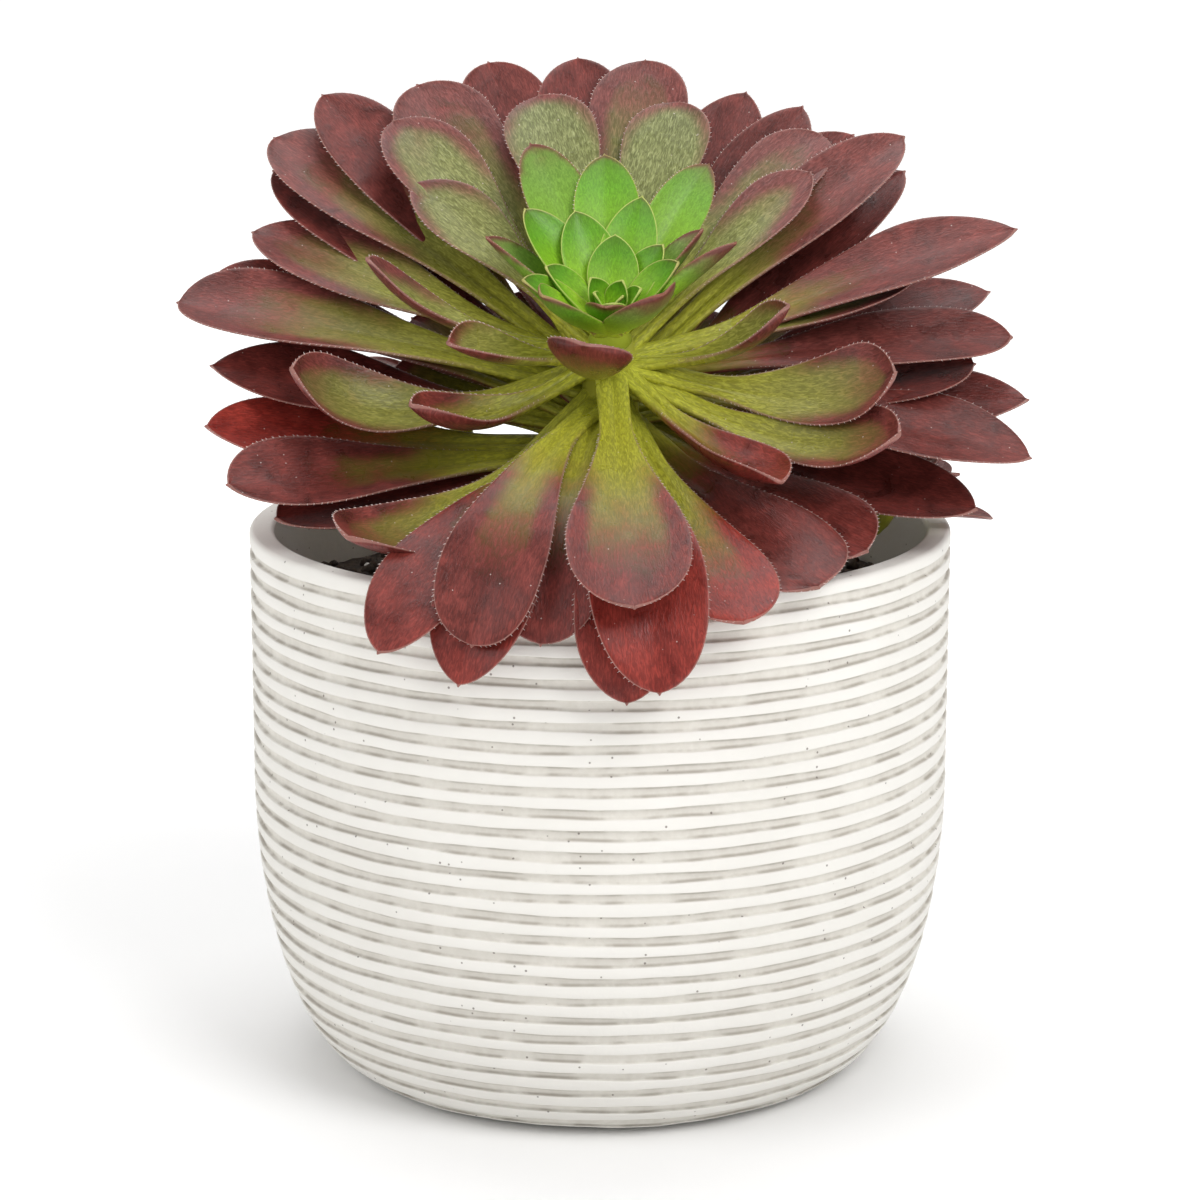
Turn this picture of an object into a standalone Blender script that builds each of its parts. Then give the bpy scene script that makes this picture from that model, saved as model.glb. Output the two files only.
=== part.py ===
"""A potted semponium: a large succulent rosette, burgundy outside and green at its heart.

The plant stands in peat in a round, grooved, off-white pot. The stem leans forward, so the
rosette faces the viewer like a dish. Metres, +Z up, with the origin at the centre of the
pot's underside and the plant leaning towards -Y.
"""

import math
import random

import bmesh
import bpy
from mathutils import Matrix, Vector

# Driving dimensions of the pot, in millimetres
MM = 0.001
GAP = 0.3
SOIL_GAP = 0.45
POT_HEIGHT = 165.0
POT_RADIUS = 105.0
POT_FOOT_RADIUS = 72.0
POT_CURVE_HEIGHT = 90.0
POT_WALL = 7.5
POT_FLOOR = 9.0
POT_INSIDE_RISE = 3.0
POT_INSIDE_LEVELS = (55.0, 30.0, 16.0)
POT_SIDES = 30
LIP_ROUND = 1.6
GROOVE_COUNT = 26
GROOVE_PITCH = 6.2
GROOVE_DEPTH = 1.3
FIRST_GROOVE_DROP = 5.5

# Driving dimensions of the soil and of the main stem, in millimetres
SOIL_LEVEL = 143.0
SOIL_RINGS = ((0.0, 2.0), (34.0, 1.0), (70.0, -0.5))
SOIL_EDGE_DROP = 2.0
SOIL_BUMP = 1.2
STEM_DEPTH = 45.0
STEM_RADIUS = 8.5
STEM_SIDES = 12
COLLAR_RISE = 5.0
STRAIGHT_END = 4.0
STEM_FOOT = Vector((1.0, 8.0))

# The rosette stands square to an axis that leans forward from the upright
ROSETTE_CENTRE = Vector((3.0, -22.0, 218.0))
ROSETTE_LEAN = 30.0
CROWN_FOOT = -42.0
CROWN_TOP = 7.0
CROWN_RINGS = ((8.5, CROWN_FOOT), (9.0, CROWN_FOOT + 8.0), (8.0, -2.0), (6.5, CROWN_TOP))
CROWN_LEAF_START = 4.0
GOLDEN_ANGLE = 137.5

# The heart sits on the crown; its rings are (radius, height above the crown's top)
HEART_RINGS = ((6.3, GAP), (5.5, 5.0), (2.5, 9.5))
COLLAR_START = 2.5
HEART_START = 1.5
BUD_START = 1.0
BUD_LEAF_COUNT = 6
BUD_LEAF_LENGTH = 15.0
BUD_LEAF_WIDTH = 11.0
BUD_LEAF_LIFT = 62.0
BUD_HEIGHT = 6.0
BUD_STAGGER = 0.3

# Where along its length a leaf's outline is set out
LEAF_STATIONS = (0.0, 0.3, 0.5, 0.65, 0.775, 0.875, 0.95, 1.0)
SMALL_LEAF_STATIONS = (0.0, 0.3, 0.55, 0.75, 0.925, 1.0)
SHOOT_LEAF_STATIONS = (0.0, 0.45, 0.7, 0.9, 1.0)

# Each kind of leaf, as (stations, thickness, the stalk's share of the width, how young)
GROWN = (LEAF_STATIONS, 3.4, 0.27, 0.0)
COLLAR = (LEAF_STATIONS, 2.8, 0.55, 0.7)
HEART = (SMALL_LEAF_STATIONS, 2.2, 0.55, 1.0)
BUD = (SHOOT_LEAF_STATIONS, 1.8, 0.55, 1.0)
SHOOT = (SHOOT_LEAF_STATIONS, 2.4, 0.27, 0.4)
TIP_SHARE = 0.05
LEAST_THICKNESS = 1.0
STALK_CUP = 0.3
PATH_STEPS = 40

# Side shoots, as (name, foot, top, lean, heading, leaf length, lowest lift)
SHOOTS = (
    ("shoot_right_back", (42.0, 30.0), (72.0, 47.0, 228.0), 20.0, 30.0, 31.0, 5.0),
    ("shoot_right_rim", (56.0, -12.0), (85.0, -8.0, 170.0), 22.0, -5.0, 31.0, 16.0),
    ("shoot_left_back", (-34.0, 28.0), (-46.0, 42.0, 197.0), 14.0, 140.0, 32.0, 5.0),
    ("shoot_back", (-4.0, 56.0), (-15.0, 40.0, 184.0), 10.0, -90.0, 28.0, 12.0),
)
SHOOT_RADIUS = 3.6
SHOOT_SIDES = 8
SHOOT_TOP_RISE = 6.0
SHOOT_LEAF_COUNT = 12
SHOOT_LEAF_START = 1.0
SHOOT_LEAF_STEP = 0.5
SHOOT_LEAF_OPENING = 70.0
SHOOT_LEAF_CUP = 0.22
SHOOT_LEAF_POINT = 0.4

# Leaves of each layer, as (direction, height, length, width, lift, arch, roll, cup, point):
# degrees and millimetres. Direction 0 is to the right, 90 to the back and 270 to the front.
# Height is where the leaf leaves the crown, lift is its rise above the plane of the rosette,
# and arch is how far it bends down along its length. Cup is how far its edges turn up, and
# point goes from 0 for a round tip to 1 for a sharp one.
COLLAR_LEAVES = (
    (114, 9.6, 62, 21, 26, 4, 0, 0.30, 0.4),
    (92, 10.0, 54, 21, 28, 4, 0, 0.30, 0.5),
    (60, 10.0, 60, 18, 20, 6, 20, 0.35, 0.5),
    (152, 9.6, 43, 17, 30, -6, 30, 0.50, 0.5),
    (40, 9.9, 38, 14, 34, -6, -30, 0.55, 0.5),
    (22, 10.2, 42, 14, 32, -6, -50, 0.60, 0.6),
)
UPPER_LEAVES = (
    (104, 1.5, 90, 28, 18, 5, 0, 0.15, 0.1),
    (258, 1.0, 47, 27, 57, -30, 0, 0.35, 0.3),
    (76, -2.0, 89, 26, 20, 5, 0, 0.15, 0.1),
    (139, 1.5, 77, 23, 17, 3, 0, 0.25, 0.5),
    (131, -3.0, 101, 28, 18, 4, 0, 0.20, 0.2),
    (172, 1.5, 76, 18, 34, -32, 20, 0.40, 0.2),
    (215, 1.5, 71, 22, 26, -38, 0, 0.70, 0.5),
    (308, -0.7, 75, 24, 12, -20, -20, 0.60, 0.3),
    (43, -1.0, 82, 20, 18, 3, 0, 0.25, 0.5),
    (50, -3.0, 99, 27, 15, 4, 0, 0.20, 0.2),
    (341, -0.7, 86, 27, 22, -26, 25, 0.30, 0.0),
    (14, -1.0, 90, 26, 13, -8, 0, 0.30, 0.2),
    (328, -2.0, 96, 25, 20, -28, 15, 0.35, 0.0),
    (190, -0.7, 98, 27, 22, -42, -10, 0.40, 0.0),
    (273, -2.0, 115, 35, 4, 7, 0, 0.20, 0.0),
    (345, -1.0, 60, 18, 44, -30, 0, 0.70, 0.5),
    (200, 1.5, 49, 20, 26, -12, 0, 0.60, 0.5),
)
MAIN_LEAVES = (
    (84, -6.5, 107, 30, 20, 5, 0, 0.15, 0.1),
    (122, -10.0, 114, 32, 19, 5, 0, 0.15, 0.1),
    (142, -11.0, 129, 32, 13, 4, 0, 0.20, 0.2),
    (155, -7.0, 115, 29, 6, 4, 0, 0.20, 0.5),
    (171, -13.0, 126, 34, 7, 3, 0, 0.30, 0.1),
    (226, -9.0, 108, 33, 17, -36, 0, 0.30, 0.0),
    (251, -13.0, 120, 30, -12, 36, 0, 0.12, 0.0),
    (260, -14.0, 113, 30, -11, 34, 0, 0.12, 0.1),
    (288, -11.0, 112, 31, 6, -4, 0, 0.10, 0.0),
    (302, -18.0, 104, 38, 7, -2, 0, 0.12, 0.1),
    (344, -11.0, 121, 30, -1, 6, 0, 0.20, 0.5),
    (4, -7.0, 114, 29, 2, 6, 0, 0.20, 0.5),
    (14, -9.0, 123, 28, 14, 5, 0, 0.25, 0.7),
    (38, -11.0, 115, 28, 18, 7, 0, 0.25, 0.7),
)
LOWER_LEAVES = (
    (95, -23.0, 120, 29, 23, 5, 0, 0.15, 0.2),
    (109, -25.0, 123, 29, 24, 5, 0, 0.15, 0.1),
    (134, -27.0, 134, 29, 23, 5, 0, 0.15, 0.3),
    (145, -23.0, 126, 28, 16, 4, 0, 0.20, 0.4),
    (163, -25.0, 123, 28, 11, 3, 0, 0.20, 0.2),
    (176, -27.0, 115, 28, 8, 2, 0, 0.20, 0.7),
    (240, -23.0, 125, 27, -2, 18, 0, 0.12, 0.4),
    (250, -26.5, 129, 29, -13, 42, 0, 0.12, 0.4),
    (276, -24.0, 134, 33, -12, 44, 0, 0.15, 0.3),
    (272, -24.0, 130, 29, -15, 44, 0, 0.12, 0.3),
    (316, -22.0, 96, 30, 5, 1, 0, 0.15, 0.1),
    (338, -25.0, 109, 28, 2, 0, 0, 0.20, 0.5),
    (357, -27.0, 119, 28, 8, 0, 0, 0.20, 0.6),
    (0, -22.0, 104, 30, 11, 0, 0, 0.15, 0.0),
    (18, -25.0, 117, 28, 9, 3, 0, 0.20, 0.7),
    (37, -27.0, 116, 27, 21, 5, 0, 0.20, 0.6),
    (48, -23.0, 115, 28, 20, 6, 0, 0.20, 0.4),
    (58, -25.0, 117, 28, 22, 5, 0, 0.20, 0.7),
    (68, -27.0, 118, 28, 22, 5, 0, 0.20, 0.7),
)
SKIRT_LEAVES = (
    (201, -34.0, 115, 31, 12, -3, 0, 0.25, 0.1),
    (187, -33.0, 116, 31, 11, -4, 0, 0.20, 0.5),
    (203, -36.0, 101, 28, 7, -4, 0, 0.25, 0.4),
    (74, -33.0, 98, 27, 7, 6, 0, 0.20, 0.3),
    (91, -35.0, 101, 28, 6, 6, 0, 0.20, 0.3),
    (107, -33.0, 98, 27, 7, 6, 0, 0.20, 0.3),
    (50, -34.0, 56, 28, 12, 5, 0, 0.20, 0.3),
    (33, -34.0, 68, 28, 9, 5, 0, 0.20, 0.3),
    (146, -34.0, 70, 30, 12, 5, 0, 0.20, 0.3),
    (120, -34.0, 62, 30, 10, 5, 0, 0.20, 0.3),
    (163, -34.0, 66, 28, 8, 5, 0, 0.20, 0.3),
)
HEART_LEAVES = (
    (86, 11.5, 26, 16, 46, -4, 0, 0.30, 0.6),
    (110, 11.8, 35, 18, 37, -4, 0, 0.30, 0.6),
    (74, 12.1, 39, 18, 36, -4, 0, 0.30, 0.7),
    (133, 12.4, 41, 19, 34, -6, 10, 0.40, 0.4),
    (160, 11.5, 25, 15, 46, -8, 10, 0.40, 0.5),
    (46, 11.8, 27, 15, 44, -8, -10, 0.40, 0.5),
    (188, 12.1, 31, 16, 44, -12, 0, 0.50, 0.5),
    (12, 12.4, 27, 15, 50, -8, 0, 0.50, 0.5),
    (222, 11.5, 36, 23, 52, -16, 0, 0.50, 0.4),
    (308, 11.5, 36, 26, 57, -18, 0, 0.45, 0.3),
    (262, 12.1, 20, 15, 60, -8, 0, 0.50, 0.3),
)


def remove_all_objects():
    for obj in list(bpy.data.objects):
        bpy.data.objects.remove(obj, do_unlink=True)


def material(name, colour, roughness, metallic=0.0):
    mat = bpy.data.materials.new(name)
    mat.use_nodes = True
    shader = mat.node_tree.nodes["Principled BSDF"]
    shader.inputs["Base Color"].default_value = (*colour, 1.0)
    shader.inputs["Roughness"].default_value = roughness
    shader.inputs["Metallic"].default_value = metallic
    mat.diffuse_color = (*colour, 1.0)
    return mat


def object_from_bmesh(name, bm, mat):
    mesh = bpy.data.meshes.new(name)
    bm.to_mesh(mesh)
    bm.free()
    obj = bpy.data.objects.new(name, mesh)
    bpy.context.scene.collection.objects.link(obj)
    mesh.materials.append(mat)
    return obj


def smooth(obj, angle=35.0):
    obj.data.shade_smooth()
    obj.data.set_sharp_from_angle(angle=math.radians(angle))


def turned_body(name, profile, sides, mat):
    """Turn a closed (radius, height) profile in millimetres round the Z axis."""
    bm = bmesh.new()
    rings = []
    for radius, height in profile:
        if radius == 0.0:
            rings.append([bm.verts.new((0.0, 0.0, height * MM))])
            continue
        turn = [2.0 * math.pi * k / sides for k in range(sides)]
        rings.append([
            bm.verts.new((radius * MM * math.cos(a), radius * MM * math.sin(a), height * MM))
            for a in turn
        ])
    for low, high in zip(rings, rings[1:]):
        for k in range(sides):
            corners = [low[k % len(low)], low[(k + 1) % len(low)]]
            corners += [high[(k + 1) % len(high)], high[k % len(high)]]
            bm.faces.new(list(dict.fromkeys(corners)))
    bmesh.ops.recalc_face_normals(bm, faces=bm.faces)
    return object_from_bmesh(name, bm, mat)


def pot_outer_radius(height):
    """The pot's plain outside: an upright wall above a quarter-ellipse that runs to the foot."""
    if height >= POT_CURVE_HEIGHT:
        return POT_RADIUS
    fall = 1.0 - height / POT_CURVE_HEIGHT
    return POT_FOOT_RADIUS + (POT_RADIUS - POT_FOOT_RADIUS) * math.sqrt(1.0 - fall * fall)


def pot_inner_radius(height):
    """The inside follows the outside, a little higher where the wall curves in."""
    return pot_outer_radius(max(height - POT_INSIDE_RISE, 0.0)) - POT_WALL


def pot_outside_profile():
    points = [(POT_FOOT_RADIUS, 0.0)]
    for k in reversed(range(GROOVE_COUNT)):
        middle = POT_HEIGHT - FIRST_GROOVE_DROP - k * GROOVE_PITCH
        ridge = middle + 0.5 * GROOVE_PITCH
        points.append((pot_outer_radius(middle) - GROOVE_DEPTH, middle))
        if k > 0:
            points.append((pot_outer_radius(ridge), ridge))
    return points


def pot_lip_profile():
    inner = POT_RADIUS - POT_WALL
    return [
        (POT_RADIUS, POT_HEIGHT - FIRST_GROOVE_DROP + GROOVE_DEPTH),
        (POT_RADIUS, POT_HEIGHT - LIP_ROUND),
        (POT_RADIUS - LIP_ROUND, POT_HEIGHT),
        (inner + LIP_ROUND, POT_HEIGHT),
        (inner, POT_HEIGHT - LIP_ROUND),
    ]


def pot_inside_profile(offset=0.0):
    """The inside of the pot from the top down, moved in by an offset for what fills it."""
    levels = (*POT_INSIDE_LEVELS, POT_FLOOR + offset)
    top = (POT_RADIUS - POT_WALL - offset, POT_CURVE_HEIGHT)
    return [top] + [(pot_inner_radius(z) - offset, z) for z in levels] + [(0.0, levels[-1])]


def make_pot(mat):
    profile = [(0.0, 0.0)] + pot_outside_profile() + pot_lip_profile() + pot_inside_profile()
    pot = turned_body("pot", profile, POT_SIDES, mat)
    smooth(pot, 25.0)
    return pot


def make_soil(mat, stem_feet):
    """Peat that fills the pot, a little uneven on top, with a plain hole for each stem."""
    random.seed(5)
    edge = (POT_RADIUS - POT_WALL - SOIL_GAP, SOIL_LEVEL - SOIL_EDGE_DROP)
    profile = [(radius, SOIL_LEVEL + rise) for radius, rise in SOIL_RINGS]
    profile += [edge] + pot_inside_profile(SOIL_GAP)
    soil = turned_body("soil", profile, POT_SIDES, mat)
    for vertex in soil.data.vertices:
        if vertex.co.z > (edge[1] + 1.0) * MM:
            vertex.co.z += random.uniform(-SOIL_BUMP, SOIL_BUMP) * MM
    for foot, radius in stem_feet:
        cut_hole(soil, foot, radius + SOIL_GAP)
    return soil


def cut_hole(soil, foot, radius):
    """Cut a round, flat-ended hole down into the soil, from above the pot's rim."""
    bm = bmesh.new()
    floor = SOIL_LEVEL - STEM_DEPTH - GAP
    bmesh.ops.create_cone(bm, cap_ends=True, segments=STEM_SIDES, radius1=radius * MM,
                          radius2=radius * MM, depth=(POT_HEIGHT - floor) * MM)
    middle = 0.5 * (floor + POT_HEIGHT)
    bmesh.ops.translate(bm, verts=bm.verts, vec=Vector((foot.x, foot.y, middle)) * MM)
    cutter = object_from_bmesh("hole_cutter", bm, soil.data.materials[0])
    apply_boolean(soil, "DIFFERENCE", cutter=cutter)
    bpy.data.objects.remove(cutter, do_unlink=True)


def apply_boolean(obj, operation, cutter=None, parts=None):
    modifier = obj.modifiers.new("join", "BOOLEAN")
    modifier.operation = operation
    modifier.solver = "EXACT"
    if parts is not None:
        modifier.operand_type = "COLLECTION"
        modifier.collection = parts
    else:
        modifier.object = cutter
    graph = bpy.context.evaluated_depsgraph_get()
    result = bpy.data.meshes.new_from_object(obj.evaluated_get(graph))
    obj.modifiers.clear()
    old = obj.data
    result.name = obj.name
    obj.data = result
    bpy.data.meshes.remove(old)


def keep_one_body(obj):
    """Drop sealed hollows and loose scraps: keep the connected body with the most faces."""
    bm = bmesh.new()
    bm.from_mesh(obj.data)
    bmesh.ops.triangulate(bm, faces=bm.faces)
    seen = set()
    bodies = []
    for start in bm.verts:
        if start in seen:
            continue
        seen.add(start)
        body = [start]
        for vertex in body:
            for edge in vertex.link_edges:
                other = edge.other_vert(vertex)
                if other not in seen:
                    seen.add(other)
                    body.append(other)
        bodies.append(body)
    bodies.sort(key=len)
    loose = [vertex for body in bodies[:-1] for vertex in body]
    bmesh.ops.delete(bm, geom=loose, context="VERTS")
    bm.to_mesh(obj.data)
    bm.free()


def join_into(core, pieces):
    """Fuse the pieces into the core with one union, and remove them."""
    parts = bpy.data.collections.new(core.name + "_parts")
    bpy.context.scene.collection.children.link(parts)
    for piece in pieces:
        bpy.context.scene.collection.objects.unlink(piece)
        parts.objects.link(piece)
    apply_boolean(core, "UNION", parts=parts)
    for piece in pieces:
        bpy.data.objects.remove(piece, do_unlink=True)
    bpy.data.collections.remove(parts)
    keep_one_body(core)
    smooth(core, 50.0)


def axis_frame(centre, lean, heading):
    """A frame in millimetres whose Z leans from the upright towards a heading."""
    turn = Matrix.Rotation(math.radians(heading), 4, "Z")
    tip = Matrix.Rotation(math.radians(lean), 4, "Y")
    back = Matrix.Rotation(math.radians(-heading), 4, "Z")
    return Matrix.Translation(centre) @ turn @ tip @ back


def leaf_half_width(share, width, petiole, point, young):
    """Half the leaf's width: a slim stalk, the widest part near the end, a round or sharp tip."""
    widens_from = 0.28 - 0.06 * point - 0.22 * young
    widest_at = 0.84 - 0.13 * point - 0.22 * young
    if share < widest_at:
        t = max(share - widens_from, 0.0) / (widest_at - widens_from)
        rise = t * t * (3.0 - 2.0 * t)
        return 0.5 * width * (petiole + (1.0 - petiole) * rise)
    t = (share - widest_at) / (1.0 - widest_at)
    spoon = (1.0 - t ** (2.3 - 0.3 * point)) ** (0.5 + 0.32 * point)
    return 0.5 * width * max(spoon, TIP_SHARE)


def leaf_path(direction, length, lift, arch, start_radius, height):
    """Points and headings along a leaf's middle, in the rosette's frame."""
    turn = math.radians(direction)
    outward = Vector((math.cos(turn), math.sin(turn), 0.0))
    up = Vector((0.0, 0.0, 1.0))
    point = outward * start_radius + up * height
    path = []
    for step in range(PATH_STEPS + 1):
        share = step / PATH_STEPS
        pitch = math.radians(lift + arch * (1.0 - 2.0 * share * share))
        heading = outward * math.cos(pitch) + up * math.sin(pitch)
        path.append((point.copy(), heading))
        point += heading * (length / PATH_STEPS)
    return path


def leaf_section(point, normal, side, half, thick, bend):
    """Four corners round a leaf: two edges, swung up along an arc, and a thicker middle."""
    angle = 2.0 * math.atan(bend)
    reach = half * math.sin(angle) / angle
    rise = half * (1.0 - math.cos(angle)) / angle
    return [
        point - side * reach + normal * rise,
        point + normal * 0.5 * thick,
        point + side * reach + normal * rise,
        point - normal * 0.5 * thick,
    ]


def make_leaf(leaf, kind, frame, start_radius, mat):
    """A closed blade in millimetres; both its faces are split into triangles alike."""
    direction, height, length, width, lift, arch, roll, cup, tip_point = leaf
    stations, thickness, petiole, young = kind
    path = leaf_path(direction, length, lift, arch, start_radius, height)
    flat_side = Vector((-math.sin(math.radians(direction)), math.cos(math.radians(direction)), 0.0))
    bm = bmesh.new()
    rings = []
    for share in stations:
        point, heading = path[round(share * PATH_STEPS)]
        turned = Matrix.Rotation(math.radians(roll) * min(share * 2.0, 1.0), 3, heading)
        side = turned @ -flat_side
        half = leaf_half_width(share, width, petiole, tip_point, young)
        thick = max(thickness * (1.25 - 0.85 * share), LEAST_THICKNESS)
        bend = max(cup, STALK_CUP * (1.0 - share)) * min(0.5 + share * 2.0, 1.0)
        normal = side.cross(heading)
        corners = leaf_section(point, normal, side, half, thick, bend)
        rings.append([bm.verts.new(frame @ corner * MM) for corner in corners])
    for low, high in zip(rings, rings[1:]):
        for k in range(4):
            j = (k + 1) % 4
            if k < 2:
                bm.faces.new((low[k], low[j], high[j]))
                bm.faces.new((low[k], high[j], high[k]))
            else:
                bm.faces.new((low[k], low[j], high[k]))
                bm.faces.new((low[j], high[j], high[k]))
    bm.faces.new(rings[0])
    bm.faces.new(rings[-1])
    bmesh.ops.recalc_face_normals(bm, faces=bm.faces)
    return object_from_bmesh("leaf", bm, mat)


def tube(name, points, radii, sides, mat):
    """A round stem through points in millimetres, with flat ends square to its path."""
    bm = bmesh.new()
    rings = []
    side = Vector((1.0, 0.0, 0.0))
    for k, (point, radius) in enumerate(zip(points, radii)):
        before = points[max(k - 1, 0)]
        after = points[min(k + 1, len(points) - 1)]
        heading = (after - before).normalized()
        side = (side - heading * side.dot(heading)).normalized()
        other = heading.cross(side)
        ring = []
        for j in range(sides):
            a = 2.0 * math.pi * j / sides
            out = side * math.cos(a) + other * math.sin(a)
            ring.append(bm.verts.new((point + out * radius) * MM))
        rings.append(ring)
    for low, high in zip(rings, rings[1:]):
        for j in range(sides):
            i = (j + 1) % sides
            bm.faces.new((low[j], low[i], high[i], high[j]))
    bm.faces.new(rings[0])
    bm.faces.new(rings[-1])
    bmesh.ops.recalc_face_normals(bm, faces=bm.faces)
    return object_from_bmesh(name, bm, mat)


def bent_path(foot, top, axis, steps):
    """A curve that leaves the foot upright and reaches the top along its axis."""
    start = Vector((foot.x, foot.y, SOIL_LEVEL + COLLAR_RISE))
    reach = (top - start).length * 0.4
    end = top - axis * STRAIGHT_END
    controls = (start, start + Vector((0.0, 0.0, reach)), end - axis * reach, end)
    points = [start - Vector((0.0, 0.0, STEM_DEPTH + COLLAR_RISE))]
    for k in range(steps + 1):
        t = k / steps
        weights = ((1 - t) ** 3, 3 * t * (1 - t) ** 2, 3 * t * t * (1 - t), t ** 3)
        points.append(sum((c * w for c, w in zip(controls, weights)), Vector()))
    points.append(top)
    return points


def make_main_stem(mat, frame):
    axis = (frame.to_3x3() @ Vector((0.0, 0.0, 1.0))).normalized()
    top = frame @ Vector((0.0, 0.0, CROWN_FOOT - GAP))
    points = bent_path(STEM_FOOT, top, axis, 6)
    radii = [STEM_RADIUS] * len(points)
    stem = tube("main_stem", points, radii, STEM_SIDES, mat)
    smooth(stem, 40.0)
    return stem


def make_crown(mat, frame):
    """The big rosette: the leafy end of the stem and all its burgundy and olive leaves."""
    points = [frame @ Vector((0.0, 0.0, h)) for radius, h in CROWN_RINGS]
    radii = [radius for radius, h in CROWN_RINGS]
    core = tube("rosette_leaves", points, radii, STEM_SIDES, mat)
    rows = UPPER_LEAVES + MAIN_LEAVES + LOWER_LEAVES + SKIRT_LEAVES
    leaves = [make_leaf(leaf, GROWN, frame, CROWN_LEAF_START, mat) for leaf in rows]
    join_into(core, leaves)
    return core


def make_heart(mat, frame):
    """The green heart: upright young leaves that close over the growing tip."""
    points = [frame @ Vector((0.0, 0.0, CROWN_TOP + h)) for radius, h in HEART_RINGS]
    radii = [radius for radius, h in HEART_RINGS]
    core = tube("rosette_heart", points, radii, STEM_SIDES, mat)
    leaves = [make_leaf(leaf, COLLAR, frame, COLLAR_START, mat) for leaf in COLLAR_LEAVES]
    leaves += [make_leaf(leaf, HEART, frame, HEART_START, mat) for leaf in HEART_LEAVES]
    for k in range(BUD_LEAF_COUNT):
        height = CROWN_TOP + BUD_HEIGHT + BUD_STAGGER * k
        leaf = (k * GOLDEN_ANGLE, height, BUD_LEAF_LENGTH - 0.9 * k, BUD_LEAF_WIDTH - 0.7 * k,
                BUD_LEAF_LIFT + 3.0 * k, -8.0, 0.0, 0.4, 0.6)
        leaves.append(make_leaf(leaf, BUD, frame, BUD_START, mat))
    join_into(core, leaves)
    return core


def make_shoot(shoot, mat):
    """A side shoot: its own thin stem in the soil and a small rosette on its end."""
    name, foot, top, lean, heading, length, lowest = shoot
    frame = axis_frame(Vector(top), lean, heading)
    axis = (frame.to_3x3() @ Vector((0.0, 0.0, 1.0))).normalized()
    points = bent_path(Vector(foot), Vector(top) + axis * SHOOT_TOP_RISE, axis, 4)
    core = tube(name, points, [SHOOT_RADIUS] * len(points), SHOOT_SIDES, mat)
    leaves = []
    for k in range(SHOOT_LEAF_COUNT):
        age = 1.0 - k / SHOOT_LEAF_COUNT
        reach = length * (0.45 + 0.55 * age)
        lift = lowest + SHOOT_LEAF_OPENING * (1.0 - age)
        leaf = (k * GOLDEN_ANGLE, SHOOT_LEAF_STEP * k, reach, 0.5 * reach, lift, 6.0, 0.0,
                SHOOT_LEAF_CUP, SHOOT_LEAF_POINT)
        leaves.append(make_leaf(leaf, SHOOT, frame, SHOOT_LEAF_START, mat))
    join_into(core, leaves)
    return core


def build():
    remove_all_objects()
    rosette = axis_frame(ROSETTE_CENTRE, ROSETTE_LEAN, -90.0)
    stem_feet = [(STEM_FOOT, STEM_RADIUS)]
    stem_feet += [(Vector(shoot[1]), SHOOT_RADIUS) for shoot in SHOOTS]
    make_pot(material("pot_clay", (0.80, 0.78, 0.74), 0.8))
    make_soil(material("peat", (0.045, 0.032, 0.022), 0.95), stem_feet)
    make_main_stem(material("stem_bark", (0.20, 0.15, 0.08), 0.8), rosette)
    make_crown(material("leaf_burgundy", (0.18, 0.06, 0.06), 0.4), rosette)
    make_heart(material("leaf_green", (0.25, 0.50, 0.08), 0.4), rosette)
    shoot_mat = material("leaf_shoot", (0.16, 0.24, 0.07), 0.4)
    for shoot in SHOOTS:
        make_shoot(shoot, shoot_mat)


build()
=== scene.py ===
# %% [markdown]
# # A semponium in a grooved pot
#
# The plant is one large rosette on a leaning stem, with a few small side shoots, in a round
# pot of pale fired clay. The solids of the frame give every size and place. This script puts
# a finer piece over each of them, gives it a finish, and sets up a camera, a floor and light.
# All lengths below are in millimetres until a mesh is made, because a leaf is easier to think
# about as 115 long than as 0.115.

# %% Load the frame
import math

import bpy
import numpy as np
from mathutils import Matrix, Vector, noise


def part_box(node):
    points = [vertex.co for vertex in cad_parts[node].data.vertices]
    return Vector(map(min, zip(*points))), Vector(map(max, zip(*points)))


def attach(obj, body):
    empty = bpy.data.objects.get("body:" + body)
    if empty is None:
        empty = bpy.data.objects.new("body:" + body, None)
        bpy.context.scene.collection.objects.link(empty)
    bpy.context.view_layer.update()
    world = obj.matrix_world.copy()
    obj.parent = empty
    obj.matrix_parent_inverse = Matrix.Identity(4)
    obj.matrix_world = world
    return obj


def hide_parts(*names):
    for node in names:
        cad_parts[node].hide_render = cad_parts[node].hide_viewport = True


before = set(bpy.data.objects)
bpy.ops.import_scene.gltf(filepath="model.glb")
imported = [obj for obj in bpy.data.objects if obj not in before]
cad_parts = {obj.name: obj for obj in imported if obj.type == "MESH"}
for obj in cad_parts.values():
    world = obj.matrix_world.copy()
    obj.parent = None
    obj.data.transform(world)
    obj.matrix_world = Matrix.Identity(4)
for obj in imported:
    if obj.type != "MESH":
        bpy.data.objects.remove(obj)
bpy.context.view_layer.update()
scene = bpy.context.scene
MM = 0.001

# %% [markdown]
# ## Camera
#
# The photo looks slightly down, at the pot's front, from about a metre away. The long lens
# keeps the pot's sides nearly upright. The tilt was read from how open the pot's rim looks.

# %% Camera
CAMERA_PLACE = (0.0, -1.080, 0.390)
CAMERA_PITCH = 13.0
CAMERA_LENS = 110.1

camera_data = bpy.data.cameras.new("photo_camera")
camera_data.lens = CAMERA_LENS
camera_data.sensor_width = 36.0
camera = bpy.data.objects.new("photo_camera", camera_data)
camera.location = CAMERA_PLACE
camera.rotation_euler = (math.radians(90.0 - CAMERA_PITCH), 0.0, 0.0)
scene.collection.objects.link(camera)
scene.camera = camera
print("camera", CAMERA_PLACE, "pitch", CAMERA_PITCH)

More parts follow.
